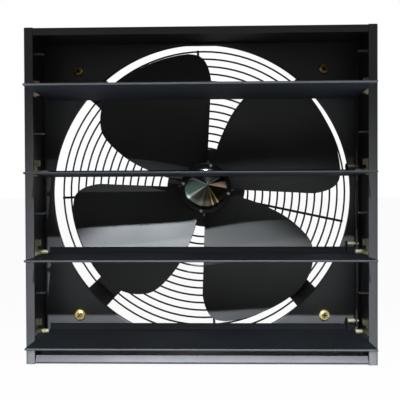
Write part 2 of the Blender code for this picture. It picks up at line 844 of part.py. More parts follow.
def make_link_pin(label, pivot):
    centre = link_place(pivot) + Vector((EAR_OUTER + SEAT_GAP, 0, 0))
    tail = BAR_INNER + BAR_SHEET + LINK_END - EAR_OUTER - SEAT_GAP
    profile = [
        (0, -tail),
        (SPINDLE_RADIUS, -tail),
        (SPINDLE_RADIUS, -LINK_LENGTH),
        (LINK_RADIUS, -LINK_LENGTH),
        (LINK_RADIUS, 0),
        (0, 0),
    ]
    turned(f"link_pin_{label}", profile, FACING_RIGHT, centre, "yellow_zinc", segments=14)


def make_tie_bar():
    pins = [link_place(place(0, PIVOT_DEPTH, pivot_height(n))) for n in range(LOUVRE_COUNT)]
    half = Vector((0, BAR_WIDTH / 2, BAR_MARGIN))
    bar = box(
        "tie_bar",
        pins[-1] - half + Vector((BAR_INNER, 0, 0)),
        pins[0] + half + Vector((BAR_INNER + BAR_SHEET, 0, 0)),
        "casing_paint",
        origin=pins[0] + Vector((BAR_INNER, 0, 0)),
    )
    holes = [
        cylinder(
            f"bar_hole_{number}",
            SPINDLE_RADIUS + RUNNING_GAP,
            -BAR_INNER - BAR_SHEET - CUT_OVERRUN,
            -BAR_INNER + CUT_OVERRUN,
            FACING_RIGHT,
            pin,
        )
        for number, pin in enumerate(pins, 1)
    ]
    cut(bar, join("bar_holes", holes))


def impeller_sheet():
    """The four blades as open sheets of one mesh, thickened by Solidify."""
    cells = bmesh.new()
    outline = [(DRUM_RADIUS - ROOT_BITE, 0.0, BLADE_SPAN_DEGREES, ROOT_RISE_SHARE)]
    outline += [(share * TIP_RADIUS, *rest) for share, *rest in BLADE_OUTLINE_SHARES]
    for start in STRAIGHT_EDGE_DEGREES:
        rows = []
        for radius, first, last, rise_share in outline:
            row = []
            for column in range(BLADE_COLUMNS):
                turn = first + (last - first) * column / (BLADE_COLUMNS - 1)
                rise = (IMPELLER_BACK - IMPELLER_FRONT) * rise_share * turn / BLADE_SPAN_DEGREES
                point = polar(radius, start + turn, IMPELLER_BACK - rise, Vector())
                row.append(cells.verts.new(point))
            rows.append(row)
        for low, high in zip(rows, rows[1:]):
            for column in range(BLADE_COLUMNS - 1):
                cells.faces.new((low[column], low[column + 1], high[column + 1], high[column]))
    bmesh.ops.recalc_face_normals(cells, faces=cells.faces)
    mesh = bpy.data.meshes.new("impeller_blades")
    cells.to_mesh(mesh)
    cells.free()
    sheet = add_object("impeller_blades", mesh, None)
    sheet.location = HUB_CENTRE
    thick = sheet.modifiers.new("sheet", "SOLIDIFY")
    thick.thickness = IMPELLER_SHEET
    thick.offset = 0
    return sheet


def make_impeller():
    drum_front = HUB_FRONT + RING_SHEET + SEAT_GAP
    drum_back = STRAP_DEPTH - DRUM_GAP
    bore = SHAFT_RADIUS + SEAT_GAP
    drum = [
        (DRUM_RADIUS, drum_front),
        (DRUM_RADIUS, drum_back),
        (DRUM_RADIUS - DRUM_WALL, drum_back),
        (DRUM_RADIUS - DRUM_WALL, drum_front + DRUM_WALL),
        (DRUM_BOSS_RADIUS, drum_front + DRUM_WALL),
        (DRUM_BOSS_RADIUS, drum_back - DRUM_WALL),
        (bore, drum_back - DRUM_WALL),
        (bore, drum_front),
    ]
    impeller = turned("impeller", drum, FACING_FRONT, HUB_CENTRE, "impeller_paint", ring=True)
    weld_on(impeller, impeller_sheet())
    ring = tube(
        "hub_ring",
        RING_RADIUS,
        bore,
        HUB_FRONT,
        HUB_FRONT + RING_SHEET,
        FACING_FRONT,
        HUB_CENTRE,
        "hub_black",
    )
    cap_back = HUB_FRONT - SEAT_GAP
    rim = cap_back - CAP_LIP
    dome = [(0, rim - CAP_HEIGHT)]
    for share in CAP_DOME_SHARES:
        fall = CAP_HEIGHT * (1 - math.sqrt(1 - share**2))
        dome.append((CAP_RADIUS * share, rim - CAP_HEIGHT + fall))
    dome += [(CAP_RADIUS, rim), (CAP_RADIUS, cap_back), (0, cap_back)]
    turned("hub_cap", dome, FACING_FRONT, HUB_CENTRE, "cap_chrome", segments=48)
    holes = []
    for number, start in enumerate(STRAIGHT_EDGE_DEGREES, 1):
        centre = polar(RIVET_CIRCLE, start - RIVET_LEAD_DEGREES, 0, HUB_CENTRE)
        head_back = HUB_FRONT - SEAT_GAP
        profile = [
            (0, head_back - RIVET_HEAD),
            (RIVET_RADIUS, head_back - RIVET_HEAD),
            (RIVET_RADIUS * RIVET_FLARE_SHARE, head_back - RIVET_HEAD * RIVET_RIM_SHARE),
            (RIVET_RADIUS * RIVET_FLARE_SHARE, head_back),
            (RIVET_RADIUS, head_back),
            (RIVET_RADIUS, HUB_FRONT + RIVET_LENGTH),
            (0, HUB_FRONT + RIVET_LENGTH),
        ]
        turned(f"hub_rivet_{number}", profile, FACING_FRONT, centre, "bright_zinc", segments=12)
        holes.append(
            cylinder(
                f"rivet_hole_{number}",
                RIVET_RADIUS + SEAT_GAP,
                HUB_FRONT - CUT_OVERRUN,
                HUB_FRONT + RIVET_LENGTH + SEAT_GAP,
                FACING_FRONT,
                centre,
            )
        )
    holes = join("rivet_holes", holes)
    cut(ring, holes)
    cut(impeller, holes)
    shaft_front = HUB_FRONT + SHAFT_STEP
    shaft_back = MOTOR_BACK - MOTOR_WALL - RUNNING_GAP
    cylinder(
        "shaft",
        SHAFT_RADIUS,
        shaft_front,
        shaft_back,
        FACING_FRONT,
        HUB_CENTRE,
        "shaft_steel",
        segments=24,
    )


def make_motor():
    bore = MOTOR_RADIUS - MOTOR_WALL
    shaft_hole = SHAFT_RADIUS + RUNNING_GAP
    seat = BEARING_RADIUS + SEAT_GAP
    seat_outer = seat + BEARING_SEAT_WALL
    front_seat = MOTOR_FRONT - MOTOR_BOSS_LENGTH + BEARING_WEB
    front_seat_end = MOTOR_FRONT + MOTOR_WALL
    boss_front = MOTOR_FRONT - MOTOR_BOSS_LENGTH
    front_cover = [
        (MOTOR_BOSS_RADIUS - SEAT_GAP, boss_front),
        (MOTOR_BOSS_RADIUS - SEAT_GAP, MOTOR_FRONT),
        (MOTOR_RADIUS, MOTOR_FRONT),
        (MOTOR_RADIUS, MOTOR_SPLIT),
        (bore, MOTOR_SPLIT),
        (bore, MOTOR_FRONT + MOTOR_WALL),
        (seat_outer, MOTOR_FRONT + MOTOR_WALL),
        (seat_outer, front_seat_end + BEARING_WEB),
        (seat, front_seat_end + BEARING_WEB),
        (seat, front_seat),
        (shaft_hole, front_seat),
        (shaft_hole, boss_front),
    ]
    cover = turned(
        "motor_front_cover", front_cover, FACING_FRONT, HUB_CENTRE, "motor_paint", ring=True
    )
    cut(cover, motor_screw_holes("cover_holes", MOTOR_FRONT))
    rear_front = MOTOR_SPLIT + SEAT_GAP
    rear_floor = MOTOR_BACK - MOTOR_WALL
    rear_seat = rear_floor - BEARING_WIDTH - SEAT_GAP
    rear_cover = [
        (0, rear_floor),
        (seat, rear_floor),
        (seat, rear_seat),
        (seat_outer, rear_seat),
        (seat_outer, rear_floor),
        (bore, rear_floor),
        (bore, rear_front),
        (MOTOR_RADIUS, rear_front),
        (MOTOR_RADIUS, MOTOR_BACK - MOTOR_SPIGOT),
        (MOTOR_RADIUS - MOTOR_SPIGOT, MOTOR_BACK),
        (0, MOTOR_BACK),
    ]
    turned("motor_rear_cover", rear_cover, FACING_FRONT, HUB_CENTRE, "motor_paint")
    for name, start in (
        ("bearing_front", front_seat + SEAT_GAP),
        ("bearing_rear", rear_seat + SEAT_GAP / 2),
    ):
        tube(
            name,
            BEARING_RADIUS,
            shaft_hole,
            start,
            start + BEARING_WIDTH,
            FACING_FRONT,
            HUB_CENTRE,
            "shaft_steel",
            segments=32,
        )
    core_middle = MOTOR_SPLIT + SEAT_GAP + STATOR_OFFSET
    tube(
        "stator",
        bore - SEAT_GAP,
        STATOR_BORE,
        core_middle - STATOR_LENGTH / 2 + MOTOR_WALL,
        core_middle + STATOR_LENGTH / 2 + MOTOR_WALL,
        FACING_FRONT,
        HUB_CENTRE,
        "core_steel",
        segments=48,
    )
    tube(
        "rotor",
        STATOR_BORE - ROTOR_AIR_GAP,
        SHAFT_RADIUS + SEAT_GAP,
        core_middle - ROTOR_LENGTH / 2 + MOTOR_WALL,
        core_middle + ROTOR_LENGTH / 2 + MOTOR_WALL,
        FACING_FRONT,
        HUB_CENTRE,
        "core_steel",
        segments=48,
    )


def make_terminal_box():
    front = MOTOR_BACK + SEAT_GAP
    back = front + BOX_DEPTH
    low = Vector((HUB_CENTRE.x - BOX_WIDTH / 2, RIM_Y + front, HUB_CENTRE.z - BOX_HEIGHT / 2))
    high = Vector((HUB_CENTRE.x + BOX_WIDTH / 2, RIM_Y + back, HUB_CENTRE.z + BOX_HEIGHT / 2))
    wall = Vector((BOX_WALL, BOX_WALL, BOX_WALL))
    terminal_box = box("terminal_box", low, high, "box_plastic")
    inside = box("terminal_box_inside", low + wall, high + Vector((0, CUT_OVERRUN, 0)) - wall)
    cut(terminal_box, inside)
    over = Vector((LID_OVERHANG, 0, LID_OVERHANG))
    lid_front = Vector((0, BOX_DEPTH + SEAT_GAP, 0))
    lid = box(
        "terminal_box_lid",
        low - over + lid_front,
        Vector((high.x, low.y, high.z)) + over + lid_front + Vector((0, LID_SHEET, 0)),
        "box_plastic",
    )
    edge = lid.modifiers.new("edge", "BEVEL")
    edge.width = LID_EDGE
    edge.segments = 1
    gland_top = Vector((HUB_CENTRE.x, (low.y + high.y) / 2, low.z))
    neck = BOX_WALL + SEAT_GAP
    profile = [
        (GLAND_NECK, -neck),
        (GLAND_NECK, SEAT_GAP),
        (GLAND_RADIUS, SEAT_GAP),
        (GLAND_RADIUS, GLAND_LENGTH - GLAND_NECK_LENGTH),
        (GLAND_NECK, GLAND_LENGTH),
        (GLAND_BORE, GLAND_LENGTH),
        (GLAND_BORE, -neck),
    ]
    turned(
        "cable_gland",
        profile,
        Matrix.Identity(4),
        gland_top,
        "box_plastic",
        ring=True,
        segments=24,
    )
    hole = cylinder(
        "gland_hole",
        GLAND_NECK + SEAT_GAP,
        -BOX_WALL - CUT_OVERRUN,
        CUT_OVERRUN,
        Matrix.Identity(4),
        gland_top,
        segments=24,
    )
    cut(terminal_box, hole)


def make_guard():
    radii = [GUARD_RADIUS - GUARD_RING_STEP * n for n in range(GUARD_RING_COUNT)]
    hoops = []
    for number, radius in enumerate(radii):
        points = [
            polar(radius, 360 * (n + RING_START_SHARE) / RING_SEGMENTS, GUARD_DEPTH, GUARD_CENTRE)
            for n in range(RING_SEGMENTS)
        ]
        hoops.append(wire(f"guard_ring_{number}", points, RING_WIRE, closed=True))
    spokes = []
    for number, degrees in enumerate(SPOKE_DEGREES):
        line = [
            polar(radius, degrees, GUARD_DEPTH + SPOKE_BEHIND, GUARD_CENTRE)
            for radius in (radii[0] + SPOKE_WIRE, radii[-1] - SPOKE_WIRE)
        ]
        spokes.append(wire(f"guard_spoke_{number}", line, SPOKE_WIRE, sides=1))
    guard = join("guard", hoops, "guard_paint")
    weld_on(guard, join("guard_spokes", spokes))


def finish_surfaces():
    bpy.context.view_layer.update()
    for item in PARTS.objects:
        smooth(item.data)


make_casing()
make_back_plate()
make_motor_bracket()
make_screws()
for louvre_number in range(LOUVRE_COUNT):
    make_louvre(louvre_number)
make_tie_bar()
make_impeller()
make_motor()
make_terminal_box()
make_guard()
finish_surfaces()
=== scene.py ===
"""Looks of the axial extractor fan: its painted sheet, plated fixings, wires, lamps and camera.

Lengths are metres in the frame of the CAD model: X along the louvres, +Y away from the viewer
towards the motor, +Z up, with the origin in the middle of the casing's underside. A name that
ends in _mm holds millimetres.
"""

import json
import logging
import math
from dataclasses import dataclass, replace
from enum import Enum
from typing import Callable, Iterable, Optional, Sequence, Union

import bmesh
import bpy
from mathutils import Matrix, Vector

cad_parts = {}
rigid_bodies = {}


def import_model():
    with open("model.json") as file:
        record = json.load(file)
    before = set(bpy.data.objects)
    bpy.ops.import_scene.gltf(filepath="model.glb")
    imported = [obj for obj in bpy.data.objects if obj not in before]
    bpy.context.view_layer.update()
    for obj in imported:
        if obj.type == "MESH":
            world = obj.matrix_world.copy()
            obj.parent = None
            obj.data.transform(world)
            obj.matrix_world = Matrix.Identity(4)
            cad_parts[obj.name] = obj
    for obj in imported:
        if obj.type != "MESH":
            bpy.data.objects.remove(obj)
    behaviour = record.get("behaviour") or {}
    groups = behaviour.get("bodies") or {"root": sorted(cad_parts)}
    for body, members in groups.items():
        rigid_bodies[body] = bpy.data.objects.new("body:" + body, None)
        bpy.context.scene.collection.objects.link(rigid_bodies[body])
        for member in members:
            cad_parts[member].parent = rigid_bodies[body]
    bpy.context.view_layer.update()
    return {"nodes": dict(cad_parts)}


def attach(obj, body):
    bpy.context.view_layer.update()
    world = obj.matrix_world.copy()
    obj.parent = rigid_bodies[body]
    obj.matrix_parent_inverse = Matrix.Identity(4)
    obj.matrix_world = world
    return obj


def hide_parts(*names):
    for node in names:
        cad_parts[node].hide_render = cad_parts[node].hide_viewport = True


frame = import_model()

LOG = logging.getLogger("extractor_fan")
MM = 0.001
PHOTO_SIDE = 400
LOUVRES = 4
HUB_AT = (0.0050, 0.1703)
AIR_GAP = 0.0003
Point2 = tuple[float, float]
Point3 = tuple[float, float, float]
Range = tuple[float, float]
Tree = bpy.types.NodeTree
Node = bpy.types.Node
Socket = bpy.types.NodeSocket
Item = bpy.types.Object
Cells = bmesh.types.BMesh
Vert = bmesh.types.BMVert


# Colour and nodes


WHITE = "#ffffff"
SRGB_KNEE = 0.04045
SRGB_FOOT = 12.92
SRGB_OFFSET = 0.055
SRGB_POWER = 2.4
WAVE_STEP = 20


def linear(colour: str) -> tuple[float, float, float, float]:
    """Turns an sRGB hex colour into linear light.

    Args:
        colour: six hex digits after a hash sign.

    Returns:
        Red, green, blue and an alpha of 1.
    """
    shades = [int(colour[i : i + 2], 16) / 255 for i in (1, 3, 5)]
    bright = [
        s / SRGB_FOOT if s <= SRGB_KNEE else ((s + SRGB_OFFSET) / (1 + SRGB_OFFSET)) ** SRGB_POWER
        for s in shades
    ]
    return (bright[0], bright[1], bright[2], 1.0)


def add_node(
    tree: Tree, kind: str, settings: Optional[dict] = None, links: Optional[dict] = None
) -> Node:
    """Adds a node, with its settings and what feeds it.

    Args:
        tree: the node tree.
        kind: the node's type name, without the ShaderNode prefix.
        settings: attributes by name, and socket values by socket name or number.
        links: output sockets by the name or number of the input that each feeds.

    Returns:
        The new node.
    """
    node = tree.nodes.new("ShaderNode" + kind)
    for key, value in (settings or {}).items():
        if isinstance(key, str) and hasattr(node, key):
            setattr(node, key, value)
        else:
            node.inputs[key].default_value = value
    for key, source in (links or {}).items():
        tree.links.new(source, node.inputs[key])
    return node


def calculated(tree: Tree, operation: str, *values: Union[float, Socket]) -> Socket:
    """Works out a number from sockets and plain numbers.

    Args:
        tree: the node tree.
        operation: what the maths node does.
        values: what it works on, in the order of its inputs.

    Returns:
        The result's socket.
    """
    plain = {n: value for n, value in enumerate(values) if isinstance(value, float)}
    fed = {n: value for n, value in enumerate(values) if not isinstance(value, float)}
    return add_node(tree, "Math", {"operation": operation, **plain}, fed).outputs[0]


def place_on_piece(tree: Tree) -> Socket:
    """Where on its piece a shaded point is, in metres."""
    return add_node(tree, "TexCoord").outputs["Object"]


def away_from(tree: Tree, place: Socket, point: Point3) -> Socket:
    """The way from a fixed point to a place."""
    return add_node(tree, "VectorMath", {"operation": "SUBTRACT", 1: point}, {0: place}).outputs[0]


def noise(
    tree: Tree, place: Socket, size_mm: float, detail: float, roughness: float = 0.5
) -> Socket:
    """A cloudy pattern about a half, drawn at a real size."""
    return add_node(
        tree,
        "TexNoise",
        {"Scale": 1 / (size_mm * MM), "Detail": detail, "Roughness": roughness},
        {"Vector": place},
    ).outputs["Fac"]


def colour_band(tree: Tree, source: Socket, stops: Sequence[tuple[float, str]]) -> Socket:
    """A ramp of colours over a number from 0 to 1.

    Args:
        tree: the node tree.
        source: the number.
        stops: places along the ramp and their sRGB colours.

    Returns:
        The colour socket.
    """
    ramp = add_node(tree, "ValToRGB", links={0: source})
    cells = ramp.color_ramp.elements
    while len(cells) < len(stops):
        cells.new(1.0)
    for cell, (place, colour) in zip(cells, stops):
        cell.position = place
        cell.color = linear(colour)
    return ramp.outputs[0]


def number_band(tree: Tree, source: Socket, between: Range, into: Range = (0.0, 1.0)) -> Socket:
    """Stretches a number from one range to another and clamps it there."""
    band = add_node(
        tree,
        "MapRange",
        {"From Min": between[0], "From Max": between[1], "To Min": into[0], "To Max": into[1]},
        {"Value": source},
    )
    return band.outputs["Result"]


@dataclass(frozen=True)
class Finish:
    """A surface: what it is made of, and the numbers that its shader takes.

    Args:
        name: what it is.
        colour: its sRGB colour.
        roughness: the shader's roughness.
        metallic: the shader's share of metal.
        ior: the index of refraction.
        rough_between: the values of a pattern between which the roughness changes.
        rough_change: what the pattern adds to the roughness at those values.
        bump_strength: how strongly a pattern tilts the surface.
        bump_mm: the pattern's height.
    """

    name: str
    colour: str
    roughness: float
    metallic: float = 0.0
    ior: float = 1.5
    rough_between: Range = (0.0, 1.0)
    rough_change: Range = (0.0, 0.0)
    bump_strength: float = 0.0
    bump_mm: float = 0.0

    def shader(self, material: bpy.types.Material) -> Node:
        """Sets the constants on the principled shader's own sockets and returns it."""
        shader = material.node_tree.nodes["Principled BSDF"]
        shader.inputs["Base Color"].default_value = linear(self.colour)
        shader.inputs["Roughness"].default_value = self.roughness
        shader.inputs["Metallic"].default_value = self.metallic
        shader.inputs["IOR"].default_value = self.ior
        return shader

    def detail(self, tree: Tree, shader: Node) -> None:
        """Adds the pattern that this finish shows. A plain finish has none."""

    def vary_roughness(self, tree: Tree, shader: Node, pattern: Socket) -> None:
        """Lets a pattern change the roughness a little."""
        into = (self.roughness + self.rough_change[0], self.roughness + self.rough_change[1])
        rough = number_band(tree, pattern, self.rough_between, into)
        tree.links.new(rough, shader.inputs["Roughness"])

    def raise_surface(self, tree: Tree, shader: Node, pattern: Socket) -> None:
        """Lets a pattern tilt the surface, as if it were raised and sunk by it."""
        bump = add_node(
            tree,
            "Bump",
            {"Strength": self.bump_strength, "Distance": self.bump_mm * MM},
            {"Height": pattern},
        )
        tree.links.new(bump.outputs[0], shader.inputs["Normal"])

    def material(self) -> bpy.types.Material:
        """The Blender material of this finish, made once."""
        made = bpy.data.materials.get(self.name)
        if made is None:
            made = bpy.data.materials.new(self.name)
            made.use_nodes = True
            self.detail(made.node_tree, self.shader(made))
        return made


@dataclass(frozen=True)
class PowderCoat(Finish):
    """Polyester powder coat baked on steel sheet.

    It gives the eye a deep black with a broad soft highlight, an orange peel of about a
    millimetre, and a faint bloom of dust and handling.
    """

    peel_mm: float = 1.6
    bloom: str = "#2b2c2e"
    bloom_mm: float = 60.0
    speck_mm: float = 2.2
    specular: float = 0.5
    dust_between: Range = (0.45, 0.78)
    speck_between: Range = (0.69, 0.76)
    speck_share: float = 0.35
    rough_between: Range = (0.3, 0.75)
    rough_change: Range = (-0.03, 0.06)
    bump_strength: float = 0.35
    bump_mm: float = 0.04

    def detail(self, tree: Tree, shader: Node) -> None:
        """Orange peel as bump, and dust as a change of colour and roughness."""
        shader.inputs["Specular IOR Level"].default_value = self.specular
        place = place_on_piece(tree)
        dust = noise(tree, place, self.bloom_mm, detail=5.0, roughness=0.62)
        specks = noise(tree, place, self.speck_mm, detail=2.0, roughness=0.7)
        dusty = number_band(tree, dust, self.dust_between)
        speck = number_band(tree, specks, self.speck_between, (0.0, self.speck_share))
        colour = add_node(
            tree,
            "Mix",
            {"data_type": "RGBA", "A": linear(self.colour), "B": linear(self.bloom)},
            {"Factor": calculated(tree, "MAXIMUM", dusty, speck)},
        )
        tree.links.new(colour.outputs["Result"], shader.inputs["Base Color"])
        self.vary_roughness(tree, shader, dust)
        peel = noise(tree, place, self.peel_mm, detail=1.5, roughness=0.4)
        self.raise_surface(tree, shader, peel)


@dataclass(frozen=True)
class YellowZinc(Finish):
    """Steel, zinc plated and yellow passivated.

    It gives the eye a brassy gold that drifts to olive and to a faint pink from one pin to
    the next, with dull specks where the plating is thin.
    """

    other: str = "#8f8f55"
    blush: str = "#b89a7c"
    drift_mm: float = 6.0
    marks_mm: float = 0.5
    rough_between: Range = (0.3, 0.7)
    rough_change: Range = (-0.06, 0.12)
    bump_strength: float = 0.2
    bump_mm: float = 0.02

    def detail(self, tree: Tree, shader: Node) -> None:
        """Drifting colour over a few millimetres, and fine machining marks."""
        place = place_on_piece(tree)
        drift = noise(tree, place, self.drift_mm, detail=3.0)
        shades = [(0.34, self.other), (0.5, self.colour), (0.68, self.blush)]
        tree.links.new(colour_band(tree, drift, shades), shader.inputs["Base Color"])
        marks = noise(tree, place, self.marks_mm, detail=2.0)
        self.vary_roughness(tree, shader, marks)
        self.raise_surface(tree, shader, marks)


# Painted reflections round the dish, as base colours by the share of a turn: the white stops are
# painted bright lines, the rest painted tints and dark reflections. It counts anticlockwise from
# 9 o'clock, as seen from the front: 6 o'clock is 0.25, 3 o'clock is 0.5 and 12 o'clock is 0.75.
DISH_PAINTED_REFLECTIONS = (
    (0.000, "#88a495"),
    (0.076, "#8caa9a"),
    (0.083, "#ffffff"),
    (0.098, "#f4f8f6"),
    (0.106, "#68726a"),
    (0.150, "#4a4b46"),
    (0.200, "#6a6858"),
    (0.215, "#3c3b34"),
    (0.250, "#56544a"),
    (0.284, "#3a382e"),
    (0.292, "#c4b478"),
    (0.300, "#2e2a1c"),
    (0.326, "#3a3422"),
    (0.334, "#b8aa74"),
    (0.344, "#1e1b14"),
    (0.466, "#221d18"),
    (0.474, "#ffe1cb"),
    (0.528, "#f4c8b4"),
    (0.536, "#1f1c18"),
    (0.572, "#2a2a26"),
    (0.580, "#ffffff"),
    (0.606, "#8a8e8a"),
    (0.690, "#d8dad6"),
    (0.720, "#ffffff"),
    (0.780, "#fffdf0"),
    (0.810, "#d8dad6"),
    (0.860, "#4a524e"),
    (0.918, "#6e7a74"),
    (0.930, "#ffffff"),
    (0.950, "#f4f8f6"),
    (0.957, "#8caa9a"),
    (1.000, "#88a495"),
)


@dataclass(frozen=True)
class SpunChrome(Finish):
    """Sheet spun to a dish and bright plated.

    Its turning marks draw every light out into a bright line from the middle to the rim. Its
    base colour is painted reflection: painted bright lines, and painted tints from green-grey to a
    coppery pink round the dish. These turn about a point a little off the dish's middle, the apex.
    """

    centre: Point3 = (0.0, 0.0, 0.0)
    apex: Point3 = (0.002, 0.0, 0.004)
    anisotropy: float = 0.75
    ring_mm: float = 0.7
    # Painted reflections: bright lines and tints, as base colour round the dish.
    shades: Sequence[tuple[float, str]] = DISH_PAINTED_REFLECTIONS
    bump_strength: float = 0.15
    bump_mm: float = 0.01

    def detail(self, tree: Tree, shader: Node) -> None:
        """Rings as bump and anisotropy, and painted reflections as base colour round the dish."""
        shader.inputs["Anisotropic"].default_value = self.anisotropy
        middle = away_from(tree, place_on_piece(tree), self.centre)
        apex = away_from(tree, middle, self.apex)
        parts = add_node(tree, "SeparateXYZ", links={0: apex})
        turn = calculated(tree, "ARCTAN2", parts.outputs["Z"], parts.outputs["X"])
        share = number_band(tree, turn, (-math.pi, math.pi))
        # Painted reflections: the base colour round the dish stands in for what the chrome
        # mirrors.
        tree.links.new(colour_band(tree, share, self.shades), shader.inputs["Base Color"])
        radius = add_node(tree, "VectorMath", {"operation": "LENGTH"}, {0: middle})
        turns_per_metre = math.tau / (self.ring_mm * MM)
        steps = calculated(tree, "MULTIPLY", radius.outputs["Value"], turns_per_metre)
        self.raise_surface(tree, shader, calculated(tree, "SINE", steps))
        tangent = add_node(tree, "Tangent", {"direction_type": "RADIAL", "axis": "Y"})
        tree.links.new(tangent.outputs[0], shader.inputs["Tangent"])


@dataclass(frozen=True)
class MouldedPlastic(Finish):
    """Black ABS from a spark-eroded mould.

    It gives the eye a matt grain of about half a millimetre that breaks the highlight up.
    """

    grain_mm: float = 0.6
    rough_between: Range = (0.0, 0.8)
    rough_change: Range = (-0.05, 0.1)
    bump_strength: float = 0.4
    bump_mm: float = 0.03

    def detail(self, tree: Tree, shader: Node) -> None:
        """The mould's grain as bump, drawn at its real size."""
        scale = 1 / (self.grain_mm * MM)
        grain = add_node(tree, "TexVoronoi", {"Scale": scale}, {"Vector": place_on_piece(tree)})
        self.raise_surface(tree, shader, grain.outputs["Distance"])
        self.vary_roughness(tree, shader, grain.outputs["Distance"])


@dataclass(frozen=True)
class CastShell(Finish):
    """Die-cast aluminium under a brown-grey stoving enamel.

    It gives the eye a soft sand texture of about a millimetre, its tone drifting a little with the
    sand.
    """

    light: str = "#5a534c"
    sand_mm: float = 1.1
    bump_strength: float = 0.5
    bump_mm: float = 0.06

    def detail(self, tree: Tree, shader: Node) -> None:
        """Sand texture as bump, with a slow change of shade."""
        sand = noise(tree, place_on_piece(tree), self.sand_mm, detail=4.0, roughness=0.6)
        colour = colour_band(tree, sand, [(0.35, self.colour), (0.75, self.light)])
        tree.links.new(colour, shader.inputs["Base Color"])
        self.raise_surface(tree, shader, sand)


@dataclass(frozen=True)
class GroundSteel(Finish):
    """Bare steel, turned or ground. Fine marks run round it and spread its highlight."""

    marks_mm: float = 0.35
    rough_change: Range = (-0.05, 0.15)
    bump_strength: float = 0.15
    bump_mm: float = 0.02

    def detail(self, tree: Tree, shader: Node) -> None:
        """Turning marks along the motor axis, which is Y."""
        marks = add_node(
            tree,
            "TexWave",
            {
                "bands_direction": "Y",
                "Scale": 1 / (self.marks_mm * MM) / WAVE_STEP,
                "Distortion": 1.5,
                "Detail": 2.0,
            },
            {"Vector": place_on_piece(tree)},
        ).outputs["Fac"]
        self.vary_roughness(tree, shader, marks)
        self.raise_surface(tree, shader, marks)


CASING_COAT = PowderCoat("casing_powder_coat", "#242527", 0.55, bloom="#2c2d2f", specular=1.0)
# Painted glint on the stop tabs: a lighter copy of the casing's coat.
TAB_GLINT_COAT = PowderCoat(
    "stop_tab_rubbed_coat", "#8a8d91", 0.40, peel_mm=0.8, bloom="#a0a3a6", specular=0.8
)
PLATE_COAT = PowderCoat("plate_powder_coat", "#3f4042", 0.52, bloom="#464746", specular=0.9)
# The louvres' coat and its lighter copy are shaded and lit copies: darker tops as painted shade,
# lighter undersides as painted light.
LOUVRE_COAT = PowderCoat("louvre_powder_coat", "#0f1114", 0.70, bloom="#13161a", specular=0.10)
LOUVRE_UNDERSIDE_LIGHT = PowderCoat(
    "louvre_weathered_face_coat", "#3c4149", 0.62, bloom="#454b54", specular=0.15
)
# Painted highlights on the louvres' free edges, with a lighter copy for louvre 1.
LOUVRE_EDGE_HIGHLIGHT = PowderCoat(
    "louvre_edge_rubbed_coat", "#383b3e", 0.50, peel_mm=0.8, bloom="#424548", specular=0.35
)
TOP_EDGE_HIGHLIGHT = PowderCoat(
    "top_louvre_worn_edge", "#868a8e", 0.50, peel_mm=0.8, bloom="#94989c", specular=0.5
)
BLADE_COAT = PowderCoat("impeller_powder_coat", "#171814", 0.62, bloom="#1e1e19", specular=1.0)
WIRE_COAT = PowderCoat("guard_dip_coat", "#101010", 0.38, peel_mm=0.8, bloom="#1b1b1b")
HUB_COAT = PowderCoat(
    "hub_black_enamel", "#080807", 0.24, peel_mm=0.8, bloom="#100f0c", specular=0.25
)
FIXING_PLATE = YellowZinc(
    "yellow_passivated_zinc", "#e0c878", 0.26, 0.8, other="#b8a050", blush="#f0e0b0"
)
# Painted shade on the screw heads: a darker flat middle, and a near-black driver recess.
FIXING_CENTRE_SHADE = YellowZinc(
    "yellow_zinc_worn_centre", "#7c6c40", 0.48, 0.8, other="#5c5030", blush="#8c8058"
)
RECESS_SHADE = PowderCoat("driver_recess_dirt", "#0a0906", 0.85, bloom="#0e0c08", specular=0.1)
CLIP_PLATE = YellowZinc(
    "cream_passivated_zinc", "#eae6c0", 0.50, 0.10, other="#d6d2a8", blush="#f6f2d8"
)
PIN_PLATE = YellowZinc(
    "olive_passivated_zinc", "#8f8c72", 0.55, 0.45, other="#7a7a62", blush="#a39d86"
)
CAP_CHROME = SpunChrome("spun_chrome", "#b8b4ac", 0.16, 1.0)
BRIGHT_ZINC = GroundSteel("bright_zinc", "#f2f3f0", 0.36, 0.55)
MOTOR_ENAMEL = CastShell("motor_stoving_enamel", "#34302c", 0.48)
SHAFT_STEEL = GroundSteel("ground_shaft_steel", "#bdbdb8", 0.24, 1.0)
CORE_STEEL = GroundSteel("stamped_core_steel", "#8b8c8e", 0.45, 1.0, marks_mm=0.5)
BOX_PLASTIC = MouldedPlastic("moulded_abs", "#17171a", 0.48)


# Meshes


class Side(Enum):
    """A side of the casing, by the sign of its X."""

    LEFT = -1
    RIGHT = 1


@dataclass(frozen=True)
class Placement:
    """The frame that sizes are given in: depths behind the rim, and heights."""

    rim_y: float = -0.033

    def at(self, x: float, depth: float, height: float) -> Vector:
        """A point from its X, its depth behind the rim and its height."""
        return Vector((x, self.rim_y + depth, height))


PLACE = Placement()
HUB_AXIS = PLACE.at(HUB_AT[0], 0, HUB_AT[1])
Z_TO_MOTOR = Matrix(((1, 0, 0), (0, 0, 1), (0, 1, 0)))
TINY = 1e-7
STEEP = 0.9
LEAST_LEAN = 0.5
BEND_SHARE = 0.49
EASE_STEPS = 4
WELD = 0.01 * MM
SHADED_SHARP = math.radians(34)
CUT_SHARP = math.radians(30)
EASED_SHARP = math.radians(35)
FLAT_ANGLE = math.radians(1)


